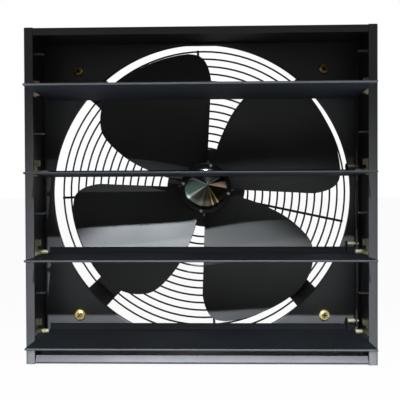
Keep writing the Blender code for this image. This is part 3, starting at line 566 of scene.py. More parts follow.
@dataclass
class Fold:
    """A bent line in a plane, with arcs for its corners.

    An arc takes no more than BEND_SHARE of the straight on either side of it.

    Args:
        points: the corners.
        radius: the bend's radius at the sheet's middle.
        steps: how many segments each arc has.
    """

    points: Sequence[Point2]
    radius: float
    steps: int = 5

    def line(self) -> list[Vector]:
        """The line's points, with each inner corner drawn as an arc."""
        spots = [Vector(p) for p in self.points]
        out = [spots[0]]
        for before, corner, after in zip(spots, spots[1:], spots[2:]):
            back = (before - corner).normalized()
            ahead = (after - corner).normalized()
            half = back.angle(ahead) / 2
            reach = min(
                self.radius / math.tan(half),
                (before - corner).length * BEND_SHARE,
                (after - corner).length * BEND_SHARE,
            )
            radius = reach * math.tan(half)
            centre = corner + (back + ahead).normalized() * (radius / math.sin(half))
            start = corner + back * reach - centre
            sweep = start.angle_signed(corner + ahead * reach - centre)
            for step in range(self.steps + 1):
                turn = Matrix.Rotation(-sweep * step / self.steps, 2)
                out.append(centre + turn @ start)
        out.append(spots[-1])
        return out


def placed(name: str, data: bpy.types.ID) -> Item:
    """A new object in the scene, of a mesh, a lamp or a camera."""
    item = bpy.data.objects.new(name, data)
    bpy.context.scene.collection.objects.link(item)
    return item


def mesh_of(name: str, cells: Cells) -> bpy.types.Mesh:
    """A mesh of what a bmesh holds, with its faces turned outwards."""
    bmesh.ops.recalc_face_normals(cells, faces=cells.faces)
    mesh = bpy.data.meshes.new(name)
    cells.to_mesh(mesh)
    cells.free()
    return mesh


def shown(name: str, cells: Cells, finish: Finish) -> Item:
    """A new object of what a bmesh holds, smooth but for its sharp edges, in one finish."""
    mesh = mesh_of(name, cells)
    mesh.materials.append(finish.material())
    mesh.shade_smooth()
    mesh.set_sharp_from_angle(angle=SHADED_SHARP)
    return placed(name, mesh)


def add_finish(piece: Item, finish: Finish) -> int:
    """Adds a finish for some of a piece's faces, and gives its number there."""
    piece.data.materials.append(finish.material())
    return len(piece.data.materials) - 1


def bridge(cells: Cells, first: Sequence[Vert], second: Sequence[Vert]) -> None:
    """Adds the band of faces between two closed loops with as many points."""
    count = len(first)
    for n in range(count):
        m = (n + 1) % count
        cells.faces.new((first[n], first[m], second[m], second[n]))


def folded_sheet(
    cells: Cells,
    fold: Fold,
    sheet: float,
    ends: Callable[[int], Range],
    to_world: Callable[[float, float, float], Vector],
    columns: int = 1,
) -> None:
    """Adds a sheet of even thickness that follows a fold and runs along the third axis.

    Args:
        cells: the mesh that it joins.
        fold: the line of the sheet's middle.
        sheet: the thickness.
        ends: gives where the sheet starts and ends, for the number of a point of the fold.
        to_world: turns the two coordinates of the fold and the one along it into a place.
        columns: how many stretches the run is cut into.
    """
    line = fold.line()
    steps = [(after - before).normalized() for before, after in zip(line, line[1:])]
    steps = [steps[0], *steps, steps[-1]]
    rows: list[list[list[Vert]]] = []
    for number, (spot, before, after) in enumerate(zip(line, steps, steps[1:])):
        along = (before + after).normalized()
        normal = Vector((-along.y, along.x))
        reach = sheet / 2 / max(along.dot(after), LEAST_LEAN)
        low, high = ends(number)
        pair = []
        for side in (-1, 1):
            at = spot + normal * (side * reach)
            places = [low + (high - low) * n / columns for n in range(columns + 1)]
            pair.append([cells.verts.new(to_world(at.x, at.y, place)) for place in places])
        rows.append(pair)
    for first, second in zip(rows, rows[1:]):
        for side in (0, 1):
            for n in range(columns):
                quad = (first[side][n], first[side][n + 1], second[side][n + 1], second[side][n])
                cells.faces.new(quad)
        for n in (0, columns):
            cells.faces.new((first[0][n], first[1][n], second[1][n], second[0][n]))
    for row in (rows[0], rows[-1]):
        for n in range(columns):
            cells.faces.new((row[0][n], row[0][n + 1], row[1][n + 1], row[1][n]))


def turned(
    cells: Cells,
    profile: Sequence[Point2],
    centre: Vector,
    segments: int,
    closed: bool = False,
) -> None:
    """Adds a shape that is turned about an axis along Y.

    Args:
        cells: the mesh that it joins.
        profile: radius and distance along the axis, point by point.
        centre: where the axis starts.
        segments: how many facets go round.
        closed: whether the profile's last point joins its first.
    """
    rings = []
    for radius, along in profile:
        if radius < TINY:
            rings.append([cells.verts.new(centre + Z_TO_MOTOR @ Vector((0, 0, along)))])
            continue
        ring = []
        for n in range(segments):
            turn = math.tau * n / segments
            at = Vector((radius * math.cos(turn), radius * math.sin(turn), along))
            ring.append(cells.verts.new(centre + Z_TO_MOTOR @ at))
        rings.append(ring)
    pairs = list(zip(rings, rings[1:]))
    if closed:
        pairs.append((rings[-1], rings[0]))
    for first, second in pairs:
        if len(first) == len(second) > 1:
            bridge(cells, first, second)
        elif len(first) < len(second):
            for n in range(segments):
                cells.faces.new((first[0], second[(n + 1) % segments], second[n]))
        elif len(second) < len(first):
            for n in range(segments):
                cells.faces.new((first[n], first[(n + 1) % segments], second[0]))


def eased(profile: Sequence[Point2], radius: float) -> list[Point2]:
    """A profile with all its corners but the two ends rounded."""
    return [(spot.x, spot.y) for spot in Fold(profile, radius, EASE_STEPS).line()]


def wire(
    cells: Cells, points: Sequence[Vector], radius: float, closed: bool, sides: int = 8
) -> None:
    """Adds a round wire along points.

    Args:
        cells: the mesh that it joins.
        points: the line of the wire's middle.
        radius: the wire's radius.
        closed: whether it is a ring.
        sides: how many facets go round it.
    """
    count = len(points)
    rings = []
    for number, spot in enumerate(points):
        before = points[number - 1] if number or closed else spot
        after = points[(number + 1) % count] if number < count - 1 or closed else spot
        along = (after - before).normalized()
        across = Vector((0, 1, 0)) if abs(along.y) < STEEP else Vector((0, 0, 1))
        side = along.cross(across).normalized()
        up = side.cross(along).normalized()
        rings.append(
            [
                cells.verts.new(
                    spot
                    + side * (radius * math.cos(math.tau * n / sides))
                    + up * (radius * math.sin(math.tau * n / sides))
                )
                for n in range(sides)
            ]
        )
    pairs = list(zip(rings, rings[1:]))
    if closed:
        pairs.append((rings[-1], rings[0]))
    for first, second in pairs:
        bridge(cells, first, second)
    if not closed:
        cells.faces.new(rings[0])
        cells.faces.new(rings[-1])


def block(cells: Cells, low: Vector, high: Vector) -> None:
    """Adds a plain block between two corners, for a thin tab or for a cut."""
    made = bmesh.ops.create_cube(cells, size=1.0)["verts"]
    bmesh.ops.scale(cells, vec=high - low, verts=made)
    bmesh.ops.translate(cells, vec=(low + high) / 2, verts=made)


def softened(node: str, finish: Finish, edge_mm: float, segments: int) -> Item:
    """A piece with a CAD node's shape and its hard edges eased, as plating or paint leaves them.

    Args:
        node: the CAD node that it stands for.
        finish: its finish.
        edge_mm: the width of the eased edge.
        segments: how many facets the eased edge has.

    Returns:
        The new piece.
    """
    cells = bmesh.new()
    cells.from_mesh(frame["nodes"][node].data)
    bmesh.ops.remove_doubles(cells, verts=cells.verts, dist=WELD)
    bmesh.ops.dissolve_limit(cells, angle_limit=FLAT_ANGLE, verts=cells.verts, edges=cells.edges)
    sharp = [
        e for e in cells.edges if len(e.link_faces) == 2 and e.calc_face_angle(0) > EASED_SHARP
    ]
    bmesh.ops.bevel(
        cells,
        geom=sharp,
        offset=edge_mm * MM,
        segments=segments,
        affect="EDGES",
        profile=0.5,
        clamp_overlap=True,
    )
    return shown(node + "_form", cells, finish)


def settle(piece: Item) -> None:
    """Makes a piece's modifiers part of its mesh, and removes what they cut with."""
    bpy.context.view_layer.update()
    graph = bpy.context.evaluated_depsgraph_get()
    mesh = bpy.data.meshes.new_from_object(piece.evaluated_get(graph))
    tools = [change.object for change in piece.modifiers]
    piece.modifiers.clear()
    piece.data = mesh
    for tool in tools:
        bpy.data.objects.remove(tool, do_unlink=True)
    mesh.shade_smooth()
    mesh.set_sharp_from_angle(angle=CUT_SHARP)


def fit(piece: Item, body: str, nodes: Iterable[str]) -> None:
    """Hangs a piece on its body, in place of the CAD nodes that it stands for."""
    nodes = list(nodes)
    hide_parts(*nodes)
    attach(piece, body)
    LOG.info("%s rides on %s in place of %s", piece.name, body, ", ".join(nodes))


def fit_eased(
    node: str, finish: Finish, body: str, edge_mm: float = 0.2, segments: int = 2
) -> None:
    """Puts a CAD node's own shape, with its edges eased, in the node's place."""
    fit(softened(node, finish, edge_mm, segments), body, [node])


def turned_piece(
    name: str, profile: Sequence[Point2], segments: int, finish: Finish, closed: bool = False
) -> Item:
    """A piece that is turned about the motor's axis, in one finish."""
    cells = bmesh.new()
    turned(cells, profile, HUB_AXIS, segments, closed=closed)
    return shown(name, cells, finish)


def repaint(node: str, finish: Finish) -> None:
    """Gives a CAD node that stays its finish."""
    for holder in frame["nodes"][node].material_slots:
        holder.material = finish.material()
    LOG.info("%s is shown as the CAD made it, in %s", node, finish.name)


# Sub-assemblies


@dataclass
class Casing:
    """The box of folded sheet: four walls, and lips turned in round the front rim.

    Each louvre end has a stop tab on the side wall. The tabs are found in the CAD mesh: no
    other corner lies inside the walls and tab_clear or more from their edges, and no tab is
    thicker than tab_thickest. Faces between lip_bend_end and tab_back, and between top_lip
    and tab_top, are tabs, and take a lighter coat than the walls as a painted glint.
    """

    width: float = 0.341
    height: float = 0.327
    depth: float = 0.066
    sheet: float = 0.0012
    side_lip: float = 0.0089
    top_lip: float = 0.0074
    bottom_lip: float = 0.0080
    bottom_lean: float = 0.0026
    bend: float = 0.0015
    lip_gap: float = 0.0004
    lip_points: int = 2
    lip_bend_end: float = 0.004
    tab_back: float = 0.055
    tab_top: float = 0.3185
    tab_clear: float = 0.003
    tab_thickest: float = 0.003
    tab_slack: float = 0.0001

    def wall_fold(self, lip: float, lean: float = 0.0) -> Fold:
        """The section of a wall: the lip's inner edge, the bend, and the wall to its back edge.

        Args:
            lip: how far the lip reaches inwards from the wall's outer face.
            lean: how far the lip's inner edge leans back behind the rim.

        Returns:
            The fold, as distance inwards from the outer face and depth behind the rim.
        """
        middle = self.sheet / 2
        return Fold([(lip, middle + lean), (middle, middle), (middle, self.depth)], self.bend)

    def build_walls(self, cells: Cells) -> None:
        """Side walls at full height, with the top and bottom fitted between them."""
        half = self.width / 2
        for side in Side:
            folded_sheet(
                cells,
                self.wall_fold(self.side_lip),
                self.sheet,
                lambda number: (0.0, self.height),
                lambda a, b, c, s=side.value: PLACE.at(s * (half - a), b, c),
            )
        inner = half - self.sheet
        lip_end = half - self.side_lip - self.lip_gap

        def ends(number: int) -> Range:
            """The lip stops short of the side lips, and the wall runs from side to side."""
            reach = lip_end if number < self.lip_points else inner
            return (-reach, reach)

        for lip, lean, base, up in (
            (self.top_lip, 0.0, self.height, -1),
            (self.bottom_lip, self.bottom_lean, 0.0, 1),
        ):
            folded_sheet(
                cells,
                self.wall_fold(lip, lean),
                self.sheet,
                ends,
                lambda a, b, c, z=base, s=up: PLACE.at(c, b, z + s * a),
            )

    def build(self) -> None:
        """Builds the casing and puts it in the place of its node."""
        cells = bmesh.new()
        self.build_walls(cells)
        for low, high in self.tab_boxes():
            block(cells, low, high)
        piece = shown("casing_shell", cells, CASING_COAT)
        # Painted glint: the tab faces get a lighter coat than the walls.
        tab_glint = add_finish(piece, TAB_GLINT_COAT)
        inner = self.width / 2 - self.sheet - self.lip_gap
        for face in piece.data.polygons:
            depth = face.center.y - PLACE.rim_y
            inside = abs(face.center.x) < inner and self.lip_bend_end < depth < self.tab_back
            if inside and self.top_lip < face.center.z < self.tab_top:
                face.material_index = tab_glint
        fit(piece, "frame", ["casing"])

    def tab_boxes(self) -> list[tuple[Vector, Vector]]:
        """Each stop tab's two corners, read from where the CAD has them."""
        inner = self.width / 2 - self.sheet
        front = PLACE.rim_y + self.tab_clear
        back = PLACE.rim_y + self.depth - self.tab_clear
        corners = [
            vert.co
            for vert in frame["nodes"]["casing"].data.vertices
            if front < vert.co.y < back and abs(vert.co.x) < inner
        ]
        found = []
        for side in Side:
            spots = [spot for spot in corners if spot.x * side.value > 0]
            heights = sorted({round(spot.z, 4) for spot in spots})
            for low, high in zip(heights, heights[1:]):
                if high - low > self.tab_thickest:
                    continue
                near, far = low - self.tab_slack, high + self.tab_slack
                here = [spot for spot in spots if near < spot.z < far]
                tip = side.value * min(abs(spot.x) for spot in here)
                root = side.value * (inner + self.sheet / 2)
                depths = [spot.y for spot in here]
                found.append(
                    (
                        Vector((min(tip, root), min(depths), low)),
                        Vector((max(tip, root), max(depths), high)),
                    )
                )
        return found


class SkinLine(Enum):
    """What a line of the back plate's skin follows."""

    OPENING = "a circle about the opening"
    MIDDLE = "halfway between the opening and the edge"
    EDGE = "the plate's edge"


@dataclass
class BackPlate:
    """The plate behind the louvres, with its round opening rolled back to a short collar.

    The plate reaches from low to high and half_width to either side. Its flange and the collar
    run back from its front face. The arc at the opening has the radius roll.
    """

    depth: float = 0.056
    sheet: float = 0.0010
    flange: float = 0.0095
    half_width: float = 0.1690
    low: float = 0.0015
    high: float = 0.3255
    opening: float = 0.1590
    opening_height: float = 0.1649
    collar: float = 0.0040
    roll: float = 0.0012
    edge_bend: float = 0.0010
    roll_steps: int = 4
    bend_steps: int = 3
    segments: int = 144

    def rays(self) -> list[float]:
        """Angles round the opening, with one at each corner of the plate."""
        turns = [math.tau * n / self.segments for n in range(self.segments)]
        for x in (-self.half_width, self.half_width):
            for z in (self.low, self.high):
                corner = math.atan2(z - self.opening_height, x) % math.tau
                nearest = min(range(len(turns)), key=lambda n: abs(turns[n] - corner))
                turns[nearest] = corner
        return sorted(turns)

    def on_edge(self, turn: float, inset: float) -> Point2:
        """Where a ray from the opening's centre meets the plate's edge, drawn in by an inset."""
        c, s = math.cos(turn), math.sin(turn)
        rise = self.high - self.opening_height if s > 0 else self.opening_height - self.low
        reach = min(
            (way - inset) / abs(share)
            for way, share in ((self.half_width, c), (rise, s))
            if abs(share) > TINY
        )
        return reach * c, reach * s

    def on_skin(self, kind: SkinLine, inset: float, turn: float) -> Point2:
        """Where a ray meets a line of the skin.

        Args:
            kind: what the line follows.
            inset: how far the line is from the opening or from the edge.
            turn: the ray's angle.

        Returns:
            X and height from the opening's centre.
        """
        c, s = math.cos(turn), math.sin(turn)
        if kind is SkinLine.OPENING:
            return (self.opening + inset) * c, (self.opening + inset) * s
        if kind is SkinLine.EDGE:
            return self.on_edge(turn, inset)
        x, z = self.on_edge(turn, self.edge_bend)
        start = self.opening + self.roll
        return (start * c + x) / 2, (start * s + z) / 2

    def section(self) -> list[tuple[SkinLine, float, float]]:
        """The lines of the skin from the collar's end to the flange's end and back inside.

        Returns:
            For each line its kind, its inset and its depth behind the rim.
        """
        front, back = self.depth, self.depth + self.sheet
        collar_end, flange_end = self.depth + self.collar, self.depth + self.flange
        roll, bend = self.roll, self.edge_bend
        skin = [(SkinLine.OPENING, 0.0, collar_end)]
        for n in range(self.roll_steps + 1):
            a = math.pi / 2 * n / self.roll_steps
            inset, depth = roll * (1 - math.cos(a)), front + roll * (1 - math.sin(a))
            skin.append((SkinLine.OPENING, inset, depth))
        skin.append((SkinLine.MIDDLE, 0.0, front))
        for n in range(self.bend_steps + 1):
            a = math.pi / 2 * n / self.bend_steps
            inset, depth = bend * (1 - math.sin(a)), front + bend * (1 - math.cos(a))
            skin.append((SkinLine.EDGE, inset, depth))
        skin += [
            (SkinLine.EDGE, 0.0, flange_end),
            (SkinLine.EDGE, self.sheet, flange_end),
            (SkinLine.EDGE, self.sheet, back),
            (SkinLine.OPENING, self.sheet, back),
            (SkinLine.OPENING, self.sheet, collar_end),
        ]
        return skin

    def build(self) -> None:
        """Builds the plate and puts it in the place of its node."""
        cells = bmesh.new()
        turns = self.rays()
        loops = []
        for kind, inset, depth in self.section():
            spots = [self.on_skin(kind, inset, turn) for turn in turns]
            places = [PLACE.at(x, depth, self.opening_height + z) for x, z in spots]
            loops.append([cells.verts.new(place) for place in places])
        for first, second in zip(loops, loops[1:] + loops[:1]):
            bridge(cells, first, second)
        piece = shown("back_plate_form", cells, PLATE_COAT)
        fit(piece, "frame", ["back_plate"])


@dataclass
class Louvre:
    """One louvre: a folded blade with a lip at its rear and a hem at its free edge.

    The rear edge of louvre 1 lies drop below the casing's top, and the louvres stand pitch
    apart. Along the blade, free and rear are the distances of its edges from the pivot axis,
    and hem_depth is how far the hem is folded back. The link pin lies link_back behind the
    axis, in an ear whose outer face has the X ear_outer. A face whose normal points down
    by more than under_normal has a lighter coat than the top, painted light on the underside,
    and the faces at the free edge's hem have a lighter coat too, a painted highlight that is
    brightest on louvre 1.
    """

    number: int
    drop: float = 0.0632
    pitch: float = 0.081
    half_length: float = 0.161
    slope: float = math.radians(2.3)
    pivot_depth: float = 0.027
    free: float = 0.0566
    rear: float = 0.0215
    sheet: float = 0.0008
    lip: float = 0.0060
    hem: float = 0.0020
    hem_depth: float = 0.0052
    pin_radius: float = 0.0023
    bend: float = 0.0006
    ear_outer: float = 0.1530
    ear_sheet: float = 0.0012
    link_back: float = 0.0200
    link_rise: float = 0.0090
    ear_half: float = 0.0032
    ear_steps: int = 8
    bend_steps: int = 4
    columns: int = 24
    under_normal: float = -0.5

    @property
    def top(self) -> float:
        """Height of the blade's upper face over the pivot axis, square to the blade."""
        return -(self.pin_radius + AIR_GAP)

    def pivot(self) -> Vector:
        """The pivot axis in the middle of the casing."""
        rear_edge = Casing.height - self.drop - (self.number - 1) * self.pitch
        below = self.pin_radius + AIR_GAP + self.sheet
        rise = below * math.cos(self.slope) + self.rear * math.sin(self.slope)
        return PLACE.at(0, self.pivot_depth, rear_edge + rise)

    def world(self, forward: float, up: float, x: float) -> Vector:
        """A point of the blade from its distance forward of the pivot, its rise and its X."""
        c, s = math.cos(self.slope), math.sin(self.slope)
        return self.pivot() + Vector((x, -forward * c + up * s, forward * s + up * c))

    def build(self) -> None:
        """Builds the blade and puts it in the place of its node."""
        middle = self.top - self.sheet / 2
        half = self.sheet / 2
        line = Fold(
            [
                (half - self.rear, self.top + self.lip),
                (half - self.rear, middle),
                (self.free - half, middle),
                (self.free - half, self.top - self.hem + half),
                (self.free - self.hem_depth, self.top - self.hem + half),
            ],
            self.bend,
            self.bend_steps,
        )
        cells = bmesh.new()
        folded_sheet(
            cells,
            line,
            self.sheet,
            lambda number: (-self.half_length, self.half_length),
            self.world,
            self.columns,
        )
        self.build_ear(cells)
        name = f"louvre_{self.number}_blade"
        piece = shown(name, cells, LOUVRE_COAT)
        # Painted highlight: the hem at the free edge gets a lighter coat, lighter still on louvre
        # 1.
        painted_light = add_finish(piece, TOP_EDGE_HIGHLIGHT if self.number == 1 else LOUVRE_EDGE_HIGHLIGHT)
        # Painted light: the undersides get a lighter coat than the top.
        underside_light = add_finish(piece, LOUVRE_UNDERSIDE_LIGHT)
        edge = self.world(self.free - self.bend, 0, 0).y
        for face in piece.data.polygons:
            if face.center.y < edge:
                face.material_index = painted_light
            elif face.normal.z < self.under_normal:
                face.material_index = underside_light
        fit(piece, f"louvre_{self.number}_leaf", [f"louvre_{self.number}"])

    def build_ear(self, cells: Cells) -> None:
        """The upright ear that carries the link pin, with a rounded top."""
        link_up = self.top + self.link_rise
        turns = [math.pi * n / self.ear_steps for n in range(self.ear_steps + 1)]
        outline = [(self.ear_half - self.link_back, self.top - self.sheet / 2)]
        for turn in turns:
            across, rise = self.ear_half * math.cos(turn), self.ear_half * math.sin(turn)
            outline.append((across - self.link_back, link_up + rise))
        outline += [
            (self.sheet / 2 - self.rear, self.top + self.lip / 2),
            (self.sheet / 2 - self.rear, self.top - self.sheet / 2),
        ]
        near, far = (
            [cells.verts.new(self.world(a, b, x)) for a, b in outline]
            for x in (self.ear_outer - self.ear_sheet, self.ear_outer)
        )
        cells.faces.new(near)
        cells.faces.new(far)
        bridge(cells, near, far)


@dataclass
class LouvreGear:
    """What hangs and links the louvres: pivot pins, clips, link pins and the tie bar."""

    pin_edge_mm: float = 0.3
    clip_edge_mm: float = 0.25

    def build(self) -> None:
        """Builds each small piece from its CAD form with its edges eased."""
        for number in range(1, LOUVRES + 1):
            leaf = f"louvre_{number}_leaf"
            for side in Side:
                end = f"{side.name.lower()}_{number}"
                fit_eased(f"pivot_pin_{end}", PIN_PLATE, leaf, self.pin_edge_mm)
                fit_eased(
                    f"pivot_clip_{end}", CLIP_PLATE, "frame", self.clip_edge_mm
                )
            fit_eased(f"link_pin_{number}", PIN_PLATE, leaf, self.pin_edge_mm)
        fit_eased("tie_bar", CASING_COAT, "link_bar")


@dataclass
class Bracket:
    """The X of two straps that carries the motor, with its feet on the plate's corners.

    The screws stand reach from the X's middle, along X and along Z. A strap slants from its
    middle stretch to its foot between slant_inner and slant_outer, measured along it. The
    straps and the disc are shifted by offset so that no two faces lie in one plane.
    """

    centre_height: float = 0.1655
    reach: float = 0.131
    width: float = 0.028
    sheet: float = 0.0020
    strap_depth: float = 0.0895
    foot_end: float = 0.0110
    slant_outer: float = 0.1635
    slant_inner: float = 0.1555
    bend: float = 0.0030
    disc_radius: float = 0.0440
    disc_bore: float = 0.0113
    offset: float = 0.00005
    turns: Sequence[float] = (45.0, 135.0)
    segments: int = 72

    def build(self) -> None:
        """Builds both straps and the seat disc as one welded piece."""
        cells = bmesh.new()
        foot = BackPlate.depth + BackPlate.sheet + AIR_GAP + self.sheet / 2
        middle = self.strap_depth + self.sheet / 2
        end = math.hypot(self.reach, self.reach) + self.foot_end
        half = [(self.slant_inner, middle), (self.slant_outer, foot), (end, foot)]
        points = [(-a, b) for a, b in reversed(half)] + half
        for layer, turn in enumerate(self.turns):
            slope = math.radians(turn)
            along = Vector((math.cos(slope), 0, math.sin(slope)))
            across = Vector((-math.sin(slope), 0, math.cos(slope)))
            centre = PLACE.at(0, layer * self.offset, self.centre_height)
            folded_sheet(
                cells,
                Fold(points, self.bend),
                self.sheet,
                lambda number: (-self.width / 2, self.width / 2),
                lambda a, b, c, o=centre, u=along, v=across: o + u * a + v * c + Vector((0, b, 0)),
            )
        front = self.strap_depth - self.offset * 2
        back = self.strap_depth + self.sheet + self.offset * 2
        disc = [
            (self.disc_bore, front),
            (self.disc_radius, front),
            (self.disc_radius, back),
            (self.disc_bore, back),
        ]
        turned(cells, disc, HUB_AXIS, self.segments, closed=True)
        piece = shown("motor_bracket_form", cells, PLATE_COAT)
        fit(piece, "frame", ["motor_bracket"])


@dataclass
class Fixings:
    """Screws through the plate and the feet, their nuts, and the motor's own screws.

    The head's profile gives shares of its radius and of its height. The recess narrows to
    the shares recess_floor of its length and width. The head's flat middle, out to
    middle_shade_radius and back to middle_shade_height, takes a darker finish as painted shade,
    and a near-black painted shade fills the recess from there to recess_shade_height, all as
    shares of the head's radius and height.
    """

    head_radius: float = 0.0057
    head_height: float = 0.0026
    head_profile: Sequence[Point2] = (
        (0.00, 0.00),
        (0.62, 0.04),
        (0.80, 0.16),
        (0.92, 0.40),
        (0.98, 0.66),
        (1.00, 0.90),
    )
    shank: float = 0.0020
    tail_depth: float = 0.0645
    segments: int = 40
    recess_width: float = 0.0016
    recess_reach: float = 0.0034
    recess_depth: float = 0.0017
    recess_floor: Point2 = (0.45, 0.6)
    turns: Sequence[float] = (20.0, 48.0, 33.0, 5.0)
    middle_shade_radius: float = 0.64
    middle_shade_height: float = 0.05
    recess_shade_height: float = 0.9
    nut_edge_mm: float = 0.35
    bolt_edge_mm: float = 0.4

    def screw(self, number: int, x: float, z: float) -> Item:
        """A pan-head screw with a tapered cross recess."""
        back = BackPlate.depth - AIR_GAP
        front = back - self.head_height
        head = [
            (self.head_radius * wide, front + self.head_height * high)
            for wide, high in self.head_profile
        ]
        head += [
            (self.head_radius, back),
            (self.shank, back),
            (self.shank, self.tail_depth),
            (0.0, self.tail_depth),
        ]
        cells = bmesh.new()
        turned(cells, head, PLACE.at(x, 0, z), self.segments)
        name = f"bracket_screw_{number}_form"
        piece = shown(name, cells, FIXING_PLATE)
        middle = PLACE.at(x, front, z)
        for arm in range(2):
            turn = self.turns[number - 1] + 90 * arm
            change = piece.modifiers.new("cross", "BOOLEAN")
            change.operation = "DIFFERENCE"
            change.solver = "EXACT"
            change.object = self.recess(f"recess_{number}_{arm}", middle, turn)
        settle(piece)
        # Painted shade: the flat middle of the head gets a darker finish, the recess a near-black
        # one.
        painted_light = add_finish(piece, FIXING_CENTRE_SHADE)
        recess_shade = add_finish(piece, RECESS_SHADE)
        for face in piece.data.polygons:
            away = face.center - middle
            if Vector((away.x, away.z)).length < self.head_radius * self.middle_shade_radius:
                if away.y < self.head_height * self.middle_shade_height:
                    face.material_index = painted_light
                elif away.y < self.head_height * self.recess_shade_height:
                    face.material_index = recess_shade
        return piece

    def recess(self, name: str, middle: Vector, degrees: float) -> Item:
        """One tapered arm of the driver's cross, to cut the head with.

        Args:
            name: the arm's name.
            middle: the middle of the head's front.
            degrees: how far the arm is turned.

        Returns:
            The arm.
        """
        cells = bmesh.new()
        half = Vector((self.recess_reach, self.recess_depth, self.recess_width / 2))
        block(cells, -half, half)
        for vert in cells.verts:
            if vert.co.y > 0:
                vert.co.x *= self.recess_floor[0]
                vert.co.z *= self.recess_floor[1]
        turn = Matrix.Rotation(math.radians(degrees), 3, "Y")
        bmesh.ops.rotate(cells, verts=cells.verts, matrix=turn)
        bmesh.ops.translate(cells, verts=cells.verts, vec=middle)
        return placed(name, mesh_of(name, cells))

    def build(self) -> None:
        """Builds every screw and nut in its node's place."""
        corners = [(side.value, up) for side in Side for up in (1, -1)]
        for number, (right, up) in enumerate(corners, 1):
            x, z = right * Bracket.reach, Bracket.centre_height + up * Bracket.reach
            piece = self.screw(number, x, z)
            fit(piece, "frame", [f"bracket_screw_{number}"])
            nut, bolt = f"bracket_nut_{number}", f"motor_screw_{number}"
            fit_eased(nut, FIXING_PLATE, "frame", self.nut_edge_mm)
            fit_eased(bolt, BRIGHT_ZINC, "frame", self.bolt_edge_mm, segments=3)


